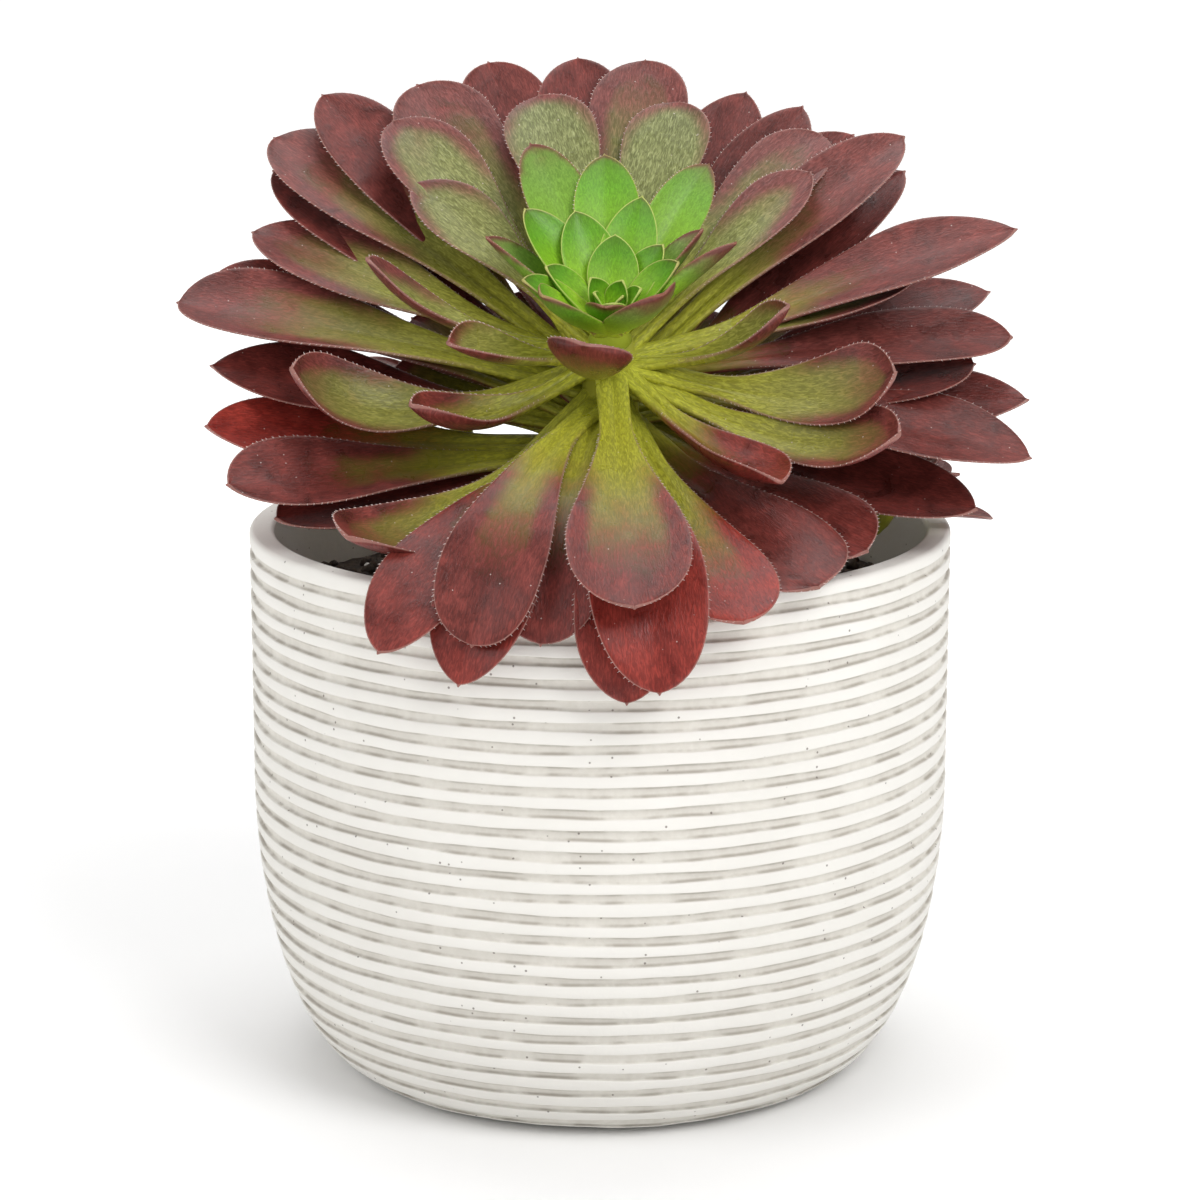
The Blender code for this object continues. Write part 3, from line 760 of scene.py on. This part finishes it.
# %% [markdown]
# ## Hairs on the leaf's edge
#
# A semponium's leaves have a row of tiny pale hairs along their edges, which catch the light
# as a beaded line. Each is a cone less than a millimetre long. They are set along the edge at
# a nearly even spacing, from where the leaf starts to widen to its tip, and lean forward.

# %% Hairs
def hair(root, out, ahead, length, thick):
    """A three-sided hair of two rings, from its sunk root to its tip, in metres."""
    heading = out + 0.55 * ahead
    heading = heading / np.linalg.norm(heading)
    side = np.cross(heading, (0.31, 0.44, 0.84))
    side = side / np.linalg.norm(side)
    other = np.cross(heading, side)
    turns = np.arange(3) * 2.0944
    ring = np.outer(np.cos(turns), side) + np.outer(np.sin(turns), other)
    foot = root - heading * 0.25 * MM
    tip = root + heading * length * MM
    return np.stack((foot + ring * thick * MM, tip + ring * 0.3 * thick * MM))


# Hairs, as (spacing, length, thickness, share of the edge before the first one)
LEAF_HAIRS = (1.9, 0.5, 0.13, 0.30)
HEART_HAIRS = (1.6, 0.32, 0.10, 0.35)


def add_hairs(body, edges, hairs, rng):
    """Set hairs along a leaf's two edges, each a little different."""
    spacing, length, thick, first_share = hairs
    for line, outs, aheads in edges:
        steps = np.linalg.norm(np.diff(line, axis=0), axis=1)
        gone = np.concatenate(([0.0], np.cumsum(steps))) / MM
        place = gone[-1] * first_share
        while place < gone[-1] - 0.3:
            root, out, ahead = (np.array([np.interp(place, gone, grid[:, k]) for k in range(3)])
                                for grid in (line, outs, aheads))
            reach, girth = length * rng.uniform(0.6, 1.3), thick * rng.uniform(0.8, 1.2)
            body.add(hair(root, out, ahead, reach, girth))
            place += spacing * rng.uniform(0.6, 1.4)


# %% [markdown]
# ## The large rosette
#
# The leaves stand in layers. Each was set out one by one to its own place in the photo, apart
# from the last eight, which it hides. A row holds a leaf's direction, height on the crown,
# length, width, lift, arch, roll, cup and point. Cup is how far its edges turn up, and point
# goes from 0 for a round tip to 1 for a sharp one. The last two numbers are its colour: how
# much of its length is flushed with burgundy, and how red that flush is, from 0 or less for
# dark burgundy to 1 for bright red. Old leaves at the bottom are flushed to their stalks; the
# upper ones still show a green middle, and those at the back carry a pale bloom with a painted
# sheen, grey-green and mauve.

# %% Leaves of each layer
UPPER_LEAVES = (
    (104, 1.5, 90, 28, 18, 5, 0, 0.15, 0.1, -0.06, 0.0),
    (258, 1.0, 47, 27, 57, -30, 0, 0.35, 0.3, 0.10, 0.0),
    (76, -2.0, 89, 26, 20, 5, 0, 0.15, 0.1, -0.08, 0.0),
    (139, 1.5, 77, 23, 17, 3, 0, 0.25, 0.5, 0.00, 0.0),
    (131, -3.0, 101, 28, 18, 4, 0, 0.20, 0.2, 0.10, 0.0),
    (172, 1.5, 76, 18, 34, -32, 20, 0.40, 0.2, 0.12, 0.0),
    (215, 1.5, 71, 22, 26, -38, 0, 0.70, 0.5, 0.28, 0.2),
    (308, -0.7, 75, 24, 12, -20, -20, 0.60, 0.3, 0.55, 0.4),
    (43, -1.0, 82, 20, 18, 3, 0, 0.25, 0.5, 0.20, 0.0),
    (50, -3.0, 99, 27, 15, 4, 0, 0.20, 0.2, 0.30, 0.0),
    (341, -0.7, 86, 27, 22, -26, 25, 0.30, 0.0, 0.18, -0.2),
    (14, -1.0, 90, 26, 13, -8, 0, 0.30, 0.2, 0.22, 0.0),
    (328, -2.0, 96, 25, 20, -28, 15, 0.35, 0.0, 0.22, 0.1),
    (190, -0.7, 98, 27, 22, -42, -10, 0.40, 0.0, 0.16, -0.2),
    (273, -2.0, 115, 35, 4, 7, 0, 0.20, 0.0, 0.36, 0.2),
    (345, -1.0, 60, 18, 44, -30, 0, 0.70, 0.5, -0.05, 0.0),
    (200, 1.5, 49, 20, 26, -12, 0, 0.60, 0.5, -0.05, 0.0),
)
MAIN_LEAVES = (
    (84, -6.5, 107, 30, 20, 5, 0, 0.15, 0.1, 0.30, 0.1),
    (122, -10.0, 114, 32, 19, 5, 0, 0.15, 0.1, 0.34, 0.0),
    (142, -11.0, 129, 32, 13, 4, 0, 0.20, 0.2, 0.36, 0.1),
    (155, -7.0, 115, 29, 6, 4, 0, 0.20, 0.5, 0.30, -0.2),
    (171, -13.0, 126, 34, 7, 3, 0, 0.30, 0.1, 0.38, 0.0),
    (226, -9.0, 108, 33, 17, -36, 0, 0.30, 0.0, 0.26, 0.1),
    (251, -13.0, 120, 30, -12, 36, 0, 0.12, 0.0, 0.46, 0.0),
    (260, -14.0, 113, 30, -11, 34, 0, 0.12, 0.1, 0.46, 0.3),
    (288, -11.0, 112, 31, 6, -4, 0, 0.10, 0.0, 0.40, 0.7),
    (302, -18.0, 104, 38, 7, -2, 0, 0.12, 0.1, 0.80, 0.0),
    (344, -11.0, 121, 30, -1, 6, 0, 0.20, 0.5, 0.78, 0.0),
    (4, -7.0, 114, 29, 2, 6, 0, 0.20, 0.5, 0.85, -0.3),
    (14, -9.0, 123, 28, 14, 5, 0, 0.25, 0.7, 0.62, -0.1),
    (38, -11.0, 115, 28, 18, 7, 0, 0.25, 0.7, 0.52, 0.1),
)
LOWER_LEAVES = (
    (95, -23.0, 120, 29, 23, 5, 0, 0.15, 0.2, 0.70, 0.2),
    (109, -25.0, 123, 29, 24, 5, 0, 0.15, 0.1, 0.55, 0.1),
    (134, -27.0, 134, 29, 23, 5, 0, 0.15, 0.3, 0.70, 0.1),
    (145, -23.0, 126, 28, 16, 4, 0, 0.20, 0.4, 0.95, 0.1),
    (163, -25.0, 123, 28, 11, 3, 0, 0.20, 0.2, 0.70, 0.1),
    (176, -27.0, 115, 28, 8, 2, 0, 0.20, 0.7, 0.75, 0.2),
    (240, -23.0, 125, 27, -2, 18, 0, 0.12, 0.4, 0.60, 0.3),
    (250, -26.5, 129, 29, -13, 42, 0, 0.12, 0.4, 0.85, 0.4),
    (276, -24.0, 134, 33, -12, 44, 0, 0.15, 0.3, 0.50, 0.6),
    (272, -24.0, 130, 29, -15, 44, 0, 0.12, 0.3, 0.60, 0.5),
    (316, -22.0, 96, 30, 5, 1, 0, 0.15, 0.1, 0.85, 0.2),
    (338, -25.0, 109, 28, 2, 0, 0, 0.20, 0.5, 0.85, -0.1),
    (357, -27.0, 119, 28, 8, 0, 0, 0.20, 0.6, 0.80, 0.1),
    (0, -22.0, 104, 30, 11, 0, 0, 0.15, 0.0, 0.80, 0.2),
    (18, -25.0, 117, 28, 9, 3, 0, 0.20, 0.7, 0.80, 0.0),
    (37, -27.0, 116, 27, 21, 5, 0, 0.20, 0.6, 0.80, 0.0),
    (48, -23.0, 115, 28, 20, 6, 0, 0.20, 0.4, 0.70, 0.0),
    (58, -25.0, 117, 28, 22, 5, 0, 0.20, 0.7, 0.75, 0.0),
    (68, -27.0, 118, 28, 22, 5, 0, 0.20, 0.7, 0.70, 0.1),
)
SKIRT_LEAVES = (
    (201, -34.0, 115, 31, 12, -3, 0, 0.25, 0.1, 0.52, 0.0),
    (187, -33.0, 116, 31, 11, -4, 0, 0.20, 0.5, 0.55, 1.0),
    (203, -36.0, 101, 28, 7, -4, 0, 0.25, 0.4, 0.85, 0.1),
    (74, -33.0, 98, 27, 7, 6, 0, 0.20, 0.3, 0.80, 0.0),
    (91, -35.0, 101, 28, 6, 6, 0, 0.20, 0.3, 0.80, 0.0),
    (107, -33.0, 98, 27, 7, 6, 0, 0.20, 0.3, 0.80, 0.0),
    (50, -34.0, 56, 28, 12, 5, 0, 0.20, 0.3, 0.10, 0.0),
    (33, -34.0, 68, 28, 9, 5, 0, 0.20, 0.3, 0.10, 0.0),
    (146, -34.0, 70, 30, 12, 5, 0, 0.20, 0.3, 0.10, 0.0),
    (120, -34.0, 62, 30, 10, 5, 0, 0.20, 0.3, 0.10, 0.0),
    (163, -34.0, 66, 28, 8, 5, 0, 0.20, 0.3, 0.10, 0.0),
)
# Each layer's name, leaves, share of pale bloom and painted sheen, and first seed
LAYERS = (
    ("leaves_upper", UPPER_LEAVES, 0.60, 85),
    ("leaves_main", MAIN_LEAVES, 0.40, 77),
    ("leaves_lower", LOWER_LEAVES, 0.1, 76),
    ("leaves_skirt", SKIRT_LEAVES, 0.0, 83),
)
CROWN_LEAF_START = 4.0
print("leaves of the large rosette", sum(len(layer[1]) for layer in LAYERS))


# %% Leaf finish
def leaf_skin(tree):
    """A place on the leaf's skin, in millimetres across and along it."""
    joined = tree.nodes.new("ShaderNodeCombineXYZ")
    tree.links.new(stored(tree, "skin_x"), joined.inputs["X"])
    tree.links.new(stored(tree, "skin_y"), joined.inputs["Y"])
    return joined.outputs[0]


def leaf_finish(name):
    """Green at the stalk, burgundy from the tip and edges inwards, with fine streaks."""
    finish, tree, shader = new_finish(name, 0.38)
    along = stored(tree, "along")
    margin = stored(tree, "margin")
    flush = stored(tree, "flush")
    tone = stored(tree, "tone")
    bloom = stored(tree, "bloom")
    under = stored(tree, "under")
    skin = leaf_skin(tree)
    mottle = clouds(tree, skin, 0.11, 4.0, 0.4)
    streak = clouds(tree, stretched(tree, skin, (2.0, 0.45, 1.0)), 0.9, 5.0, 1.0)
    wine = sums(tree, "ADD", along, flush)
    edges = sums(tree, "MULTIPLY", fade(tree, margin, 8.0, 0.0), fade(tree, along, 0.30, 0.75))
    for part, weight in ((edges, 0.34), (mottle, 0.20), (streak, 0.22), (under, 0.22)):
        wine = sums(tree, "MULTIPLY_ADD", part, weight, wine)
    wine = fade(tree, wine, 1.08, 1.50)
    green = ramp(tree, along, ((0.0, (0.52, 0.53, 0.06)), (0.30, (0.39, 0.38, 0.035)),
                               (0.60, (0.25, 0.235, 0.03)), (1.0, (0.17, 0.15, 0.035))))
    grey = ramp(tree, streak, ((0.30, (0.13, 0.16, 0.07)), (0.55, (0.21, 0.25, 0.12)),
                               (0.75, (0.31, 0.35, 0.20))))
    # Pale bloom with painted sheen: grey-green streaks towards the tips of the leaves at the back.
    powder_and_sheen = sums(tree, "MULTIPLY", bloom, fade(tree, along, 0.15, 0.6))
    green = blend_colours(tree, powder_and_sheen, green, grey)
    dark = ramp(tree, mottle, ((0.30, (0.078, 0.016, 0.013)), (0.65, (0.185, 0.036, 0.029))))
    red = ramp(tree, mottle, ((0.30, (0.17, 0.016, 0.012)), (0.65, (0.33, 0.038, 0.026))))
    wash = blend_colours(tree, fade(tree, tone, 0.0, 1.0), dark, red)
    # Pale bloom with painted sheen: the burgundy turns mauve on the leaves at the back.
    mauve = blend_colours(tree, streak, (0.17, 0.058, 0.052), (0.28, 0.13, 0.115))
    wash = blend_colours(tree, sums(tree, "MULTIPLY", bloom, 0.85), wash, mauve)
    colour = blend_colours(tree, wine, green, wash)
    light = fade(tree, streak, 0.35, 0.75, 0.72, 1.35)
    colour = blend_colours(tree, 1.0, colour, light, "MULTIPLY")
    rim = sums(tree, "MULTIPLY", fade(tree, margin, 0.42, 0.12), fade(tree, along, 0.2, 0.5))
    colour = blend_colours(tree, sums(tree, "MULTIPLY", rim, 0.65), colour, (0.34, 0.17, 0.14))
    dots = specks(tree, skin, 0.33, 0.085, 0.35)
    colour = blend_colours(tree, sums(tree, "MULTIPLY", dots, 0.7), colour, (0.62, 0.52, 0.48))
    tree.links.new(colour, shader.inputs["Base Color"])
    tree.links.new(fade(tree, mottle, 0.3, 0.7, 0.26, 0.40), shader.inputs["Roughness"])
    shader.inputs["Specular IOR Level"].default_value = 0.26
    height = sums(tree, "MULTIPLY_ADD", mottle, 2.0, streak)
    relief(tree, shader, height, 0.30, 0.0005)
    return finish


grown_leaf = leaf_finish("leaf_burgundy")


# %% Grow the large rosette
# What a stem or a core stores where a leaf stores its own numbers
BARE_SKIN = dict.fromkeys(("skin_x", "skin_y", "under", "tone", "bloom"), 0.0) | {"margin": 5.0}
CROWN_RINGS = 7
CROWN_SIDES = 24
HAIR_SEED = 21


def bloom_of(direction, share):
    """The pale bloom and its painted sheen are strongest on the leaves that rise at the back."""
    back = 0.5 + 0.5 * math.sin(math.radians(direction))
    return share * back ** 1.5


def crown_radius(gone, a):
    """The crown is a little thicker than the stem and narrows towards its top."""
    return float(np.interp(gone, (0.0, 8.0, 40.0, CROWN_TOP - CROWN_FOOT),
                           (STEM_RADIUS, CROWN_RADIUS, CROWN_RADIUS - 1.0, 6.5)))


def make_rosette(finish, pale):
    """Each layer is a piece of its own, the main one with the crown; all hairs are another."""
    rng = np.random.default_rng(HAIR_SEED)
    hairs = Gatherer()
    for name, leaves, bloom, first_seed in LAYERS:
        body = Gatherer()
        if leaves is MAIN_LEAVES:
            heights = np.linspace(CROWN_FOOT, CROWN_TOP, CROWN_RINGS)
            crown = [rosette @ Vector((0.0, 0.0, h)) for h in heights]
            rings = stem_rings(crown, crown_radius, CROWN_SIDES) * MM
            body.add(rings, dict(BARE_SKIN, along=0.1, flush=0.2))
        for k, (*leaf, flush, tone) in enumerate(leaves):
            seed = first_seed + 3 * k
            rings, values, edges = leaf_surface(leaf, GROWN, rosette, CROWN_LEAF_START, seed)
            values.update(flush=flush, tone=tone, bloom=bloom_of(leaf[0], bloom))
            body.add(rings, values)
            add_hairs(hairs, edges, LEAF_HAIRS, rng)
        settle(body.piece(name, finish), "rosette_leaves")
    settle(hairs.piece("leaf_hairs", pale), None)


def hair_finish():
    finish, tree, shader = new_finish("leaf_hair", 0.5)
    tint = clouds(tree, place_coordinates(tree), 150.0)
    colour = blend_colours(tree, tint, (0.55, 0.36, 0.33), (0.85, 0.80, 0.76))
    tree.links.new(colour, shader.inputs["Base Color"])
    return finish


pale_hair = hair_finish()
make_rosette(grown_leaf, pale_hair)

# %% [markdown]
# ## The green heart
#
# The youngest leaves stand up in the middle and close over the growing tip. They are bright
# green with a thin yellow line along the edge, which turns red on the outer ones. The leaf
# function is the same; only the form, the numbers and the finish differ.

# %% Heart leaves
# How far from the axis each kind starts
COLLAR_START, HEART_START, BUD_START = 2.5, 1.5, 1.0
COLLAR_LEAVES = (
    (114, 9.6, 62, 21, 26, 4, 0, 0.30, 0.4, 0.22),
    (92, 10.0, 54, 21, 28, 4, 0, 0.30, 0.5, 0.12),
    (60, 10.0, 60, 18, 20, 6, 20, 0.35, 0.5, 0.18),
    (152, 9.6, 43, 17, 30, -6, 30, 0.50, 0.5, 0.25),
    (40, 9.9, 38, 14, 34, -6, -30, 0.55, 0.5, 0.30),
    (22, 10.2, 42, 14, 32, -6, -50, 0.60, 0.6, 0.35),
)
HEART_LEAVES = (
    (86, 11.5, 26, 16, 46, -4, 0, 0.30, 0.6, 0.0),
    (110, 11.8, 35, 18, 37, -4, 0, 0.30, 0.6, 0.05),
    (74, 12.1, 39, 18, 36, -4, 0, 0.30, 0.7, 0.05),
    (133, 12.4, 41, 19, 34, -6, 10, 0.40, 0.4, 0.08),
    (160, 11.5, 25, 15, 46, -8, 10, 0.40, 0.5, 0.05),
    (46, 11.8, 27, 15, 44, -8, -10, 0.40, 0.5, 0.05),
    (188, 12.1, 31, 16, 44, -12, 0, 0.50, 0.5, 0.10),
    (12, 12.4, 27, 15, 50, -8, 0, 0.50, 0.5, 0.10),
    (222, 11.5, 36, 23, 52, -16, 0, 0.50, 0.4, 0.15),
    (308, 11.5, 36, 26, 57, -18, 0, 0.45, 0.3, 0.30),
    (262, 12.1, 20, 15, 60, -8, 0, 0.50, 0.3, 0.20),
)
BUD_LEAF_COUNT = 6


def bud_leaf(k):
    """A leaf round the growing tip, each one smaller and steeper than the last."""
    return (k * GOLDEN_ANGLE, 13.0 + 0.3 * k, 15.0 - 0.9 * k, 11.0 - 0.7 * k, 62.0 + 3.0 * k,
            -8.0, 0.0, 0.4, 0.6, 0.0)


def heart_leaves():
    """Each leaf of the heart, as its row, form and start."""
    grown = [(leaf, COLLAR, COLLAR_START) for leaf in COLLAR_LEAVES]
    grown += [(leaf, HEART, HEART_START) for leaf in HEART_LEAVES]
    return grown + [(bud_leaf(k), BUD, BUD_START) for k in range(BUD_LEAF_COUNT)]


def heart_finish():
    finish, tree, shader = new_finish("leaf_green", 0.36)
    along = stored(tree, "along")
    margin = stored(tree, "margin")
    flush = stored(tree, "flush")
    under = stored(tree, "under")
    skin = leaf_skin(tree)
    mottle = clouds(tree, skin, 0.2, 4.0, 0.4)
    streak = clouds(tree, stretched(tree, skin, (1.5, 0.6, 1.0)), 1.2, 5.0, 1.0)
    green = ramp(tree, along, ((0.0, (0.56, 0.66, 0.07)), (0.45, (0.26, 0.48, 0.022)),
                               (0.8, (0.12, 0.32, 0.015)), (1.0, (0.09, 0.21, 0.015))))
    olive = blend_colours(tree, streak, (0.13, 0.19, 0.04), (0.24, 0.30, 0.09))
    aged = sums(tree, "MULTIPLY", fade(tree, flush, 0.08, 0.35), fade(tree, along, 0.35, 0.9))
    green = blend_colours(tree, aged, green, olive)
    wine = sums(tree, "ADD", along, flush)
    edges = fade(tree, margin, 2.0, 0.0)
    for part, weight in ((edges, 0.18), (mottle, 0.3), (under, 0.10)):
        wine = sums(tree, "MULTIPLY_ADD", part, weight, wine)
    wine = fade(tree, wine, 1.20, 1.56)
    colour = blend_colours(tree, wine, green, (0.15, 0.045, 0.035))
    colour = blend_colours(tree, 1.0, colour, fade(tree, streak, 0.3, 0.75, 0.82, 1.2), "MULTIPLY")
    old = fade(tree, flush, 0.03, 0.22)
    line = blend_colours(tree, old, (0.55, 0.60, 0.16), (0.26, 0.10, 0.06))
    rim = fade(tree, margin, 0.34, 0.10)
    colour = blend_colours(tree, sums(tree, "MULTIPLY", rim, 0.7), colour, line)
    tree.links.new(colour, shader.inputs["Base Color"])
    shader.inputs["Specular IOR Level"].default_value = 0.30
    relief(tree, shader, streak, 0.2, 0.0004)
    return finish


# %% Grow the heart
# The core stands on the crown; heights are above the crown's top
HEART_CORE_HEIGHTS = (0.3, 5.0, 9.5)
HEART_SEED = 200
HEART_HAIR_SEED = 8


def make_heart(finish):
    """The core, all the young leaves and, on the older ones, hairs."""
    body = Gatherer()
    hairs = Gatherer()
    rng = np.random.default_rng(HEART_HAIR_SEED)
    core = [rosette @ Vector((0.0, 0.0, CROWN_TOP + h)) for h in HEART_CORE_HEIGHTS]
    rings = stem_rings(core, lambda gone, a: 6.3 - 0.4 * gone, CROWN_SIDES) * MM
    body.add(rings, dict(BARE_SKIN, along=0.05, flush=0.0))
    for seed, ((*leaf, flush), form, start) in enumerate(heart_leaves()):
        rings, values, edges = leaf_surface(leaf, form, rosette, start, seed + HEART_SEED)
        values.update(flush=flush, tone=0.0, bloom=0.0)
        body.add(rings, values)
        if form is COLLAR:
            add_hairs(hairs, edges, HEART_HAIRS, rng)
    settle(body.piece("heart_leaves", finish), "rosette_heart")
    settle(hairs.piece("heart_hairs", pale_hair), None)


make_heart(heart_finish())

# %% [markdown]
# ## Side shoots
#
# Small rosettes on thin stems of their own stand behind and below the large one, green in the
# middle and burgundy towards their tips. Their leaves follow the golden angle, as those of any
# rosette do, and open from nearly upright in the middle to nearly flat outside.

# %% Grow the side shoots
# As (name, foot, top, lean, heading, length of the longest leaf, lift of the lowest leaf)
SHOOTS = (
    ("shoot_right_back", (42.0, 30.0), (72.0, 47.0, 228.0), 20.0, 30.0, 31.0, 5.0),
    ("shoot_right_rim", (56.0, -12.0), (85.0, -8.0, 170.0), 22.0, -5.0, 31.0, 16.0),
    ("shoot_left_back", (-34.0, 28.0), (-46.0, 42.0, 197.0), 14.0, 140.0, 32.0, 5.0),
    ("shoot_back", (-4.0, 56.0), (-15.0, 40.0, 184.0), 10.0, -90.0, 28.0, 12.0),
)
SHOOT_RADIUS = 3.6
SHOOT_LEAF_COUNT = 12
SHOOT_OPENING = 70.0
SHOOT_TOP_RISE = 5.5
SHOOT_LEAF_STEP = 0.5
SHOOT_SEED = 300
SHOOT_STEM_STEPS = 30
SHOOT_STEM_SIDES = 28
SHOOT_SCAR_SPACING = 0.8


def make_shoot(number, finish):
    """One thin stem with its small rosette."""
    name, foot, top, lean, heading, length, lowest = SHOOTS[number]
    base = axis_frame(Vector(top), lean, heading)
    axis = (base.to_3x3() @ Vector((0.0, 0.0, 1.0))).normalized()
    points = bent_path(foot, Vector(top) + axis * SHOOT_TOP_RISE, axis, SHOOT_STEM_STEPS)
    body = Gatherer()
    radius_at = scarred(SHOOT_RADIUS, SHOOT_SCAR_SPACING)
    rings = stem_rings(points, radius_at, SHOOT_STEM_SIDES) * MM
    body.add(rings, dict(BARE_SKIN, along=0.2, flush=0.1))
    for k in range(SHOOT_LEAF_COUNT):
        age = 1.0 - k / SHOOT_LEAF_COUNT
        reach = length * (0.45 + 0.55 * age)
        lift = lowest + SHOOT_OPENING * (1.0 - age)
        leaf = (k * GOLDEN_ANGLE, SHOOT_LEAF_STEP * k, reach, 0.5 * reach, lift,
                6.0, 0.0, 0.22, 0.4)
        rings, values, _ = leaf_surface(leaf, SHOOT, base, 1.0, SHOOT_SEED + 20 * number + k)
        values.update(flush=0.12 + 0.2 * age, tone=0.1, bloom=0.25)
        body.add(rings, values)
    settle(body.piece(name + "_leaves", finish), name)


shoot_leaf = leaf_finish("leaf_shoot")
for number in range(len(SHOOTS)):
    make_shoot(number, shoot_leaf)

# %% [markdown]
# ## Floor
#
# The floor comes last, at the height of the pot's foot. It is wide enough for the camera to
# see nothing else, and it isn't part of the object. In the photo the paper is lit on its own
# and is pure white away from the pot, so here it glows a little more with every step away.

# %% Floor
PAPER_GLOW = 0.55
FLOOR_REACH = 30.0
FLOOR_HEIGHT = -0.0002


def make_floor():
    finish, tree, shader = new_finish("white_paper", 0.9)
    place = place_coordinates(tree)
    colour = blend_colours(tree, clouds(tree, place, 3.0), (0.93, 0.93, 0.93), (0.95, 0.95, 0.95))
    tree.links.new(colour, shader.inputs["Base Color"])
    shader.inputs["Specular IOR Level"].default_value = 0.1
    away = tree.nodes.new("ShaderNodeVectorMath")
    away.operation = "LENGTH"
    tree.links.new(place, away.inputs[0])
    glow = fade(tree, away.outputs["Value"], 0.08, 0.9, 0.0, PAPER_GLOW)
    shader.inputs["Emission Color"].default_value = (1.0, 1.0, 1.0, 1.0)
    tree.links.new(glow, shader.inputs["Emission Strength"])
    mesh = bpy.data.meshes.new("floor")
    corners = [(x * FLOOR_REACH, y * FLOOR_REACH, FLOOR_HEIGHT)
               for x, y in ((-1, -1), (1, -1), (1, 1), (-1, 1))]
    mesh.from_pydata(corners, [], [(0, 1, 2, 3)])
    mesh.materials.append(finish)
    floor = bpy.data.objects.new("floor", mesh)
    scene.collection.objects.link(floor)


make_floor()
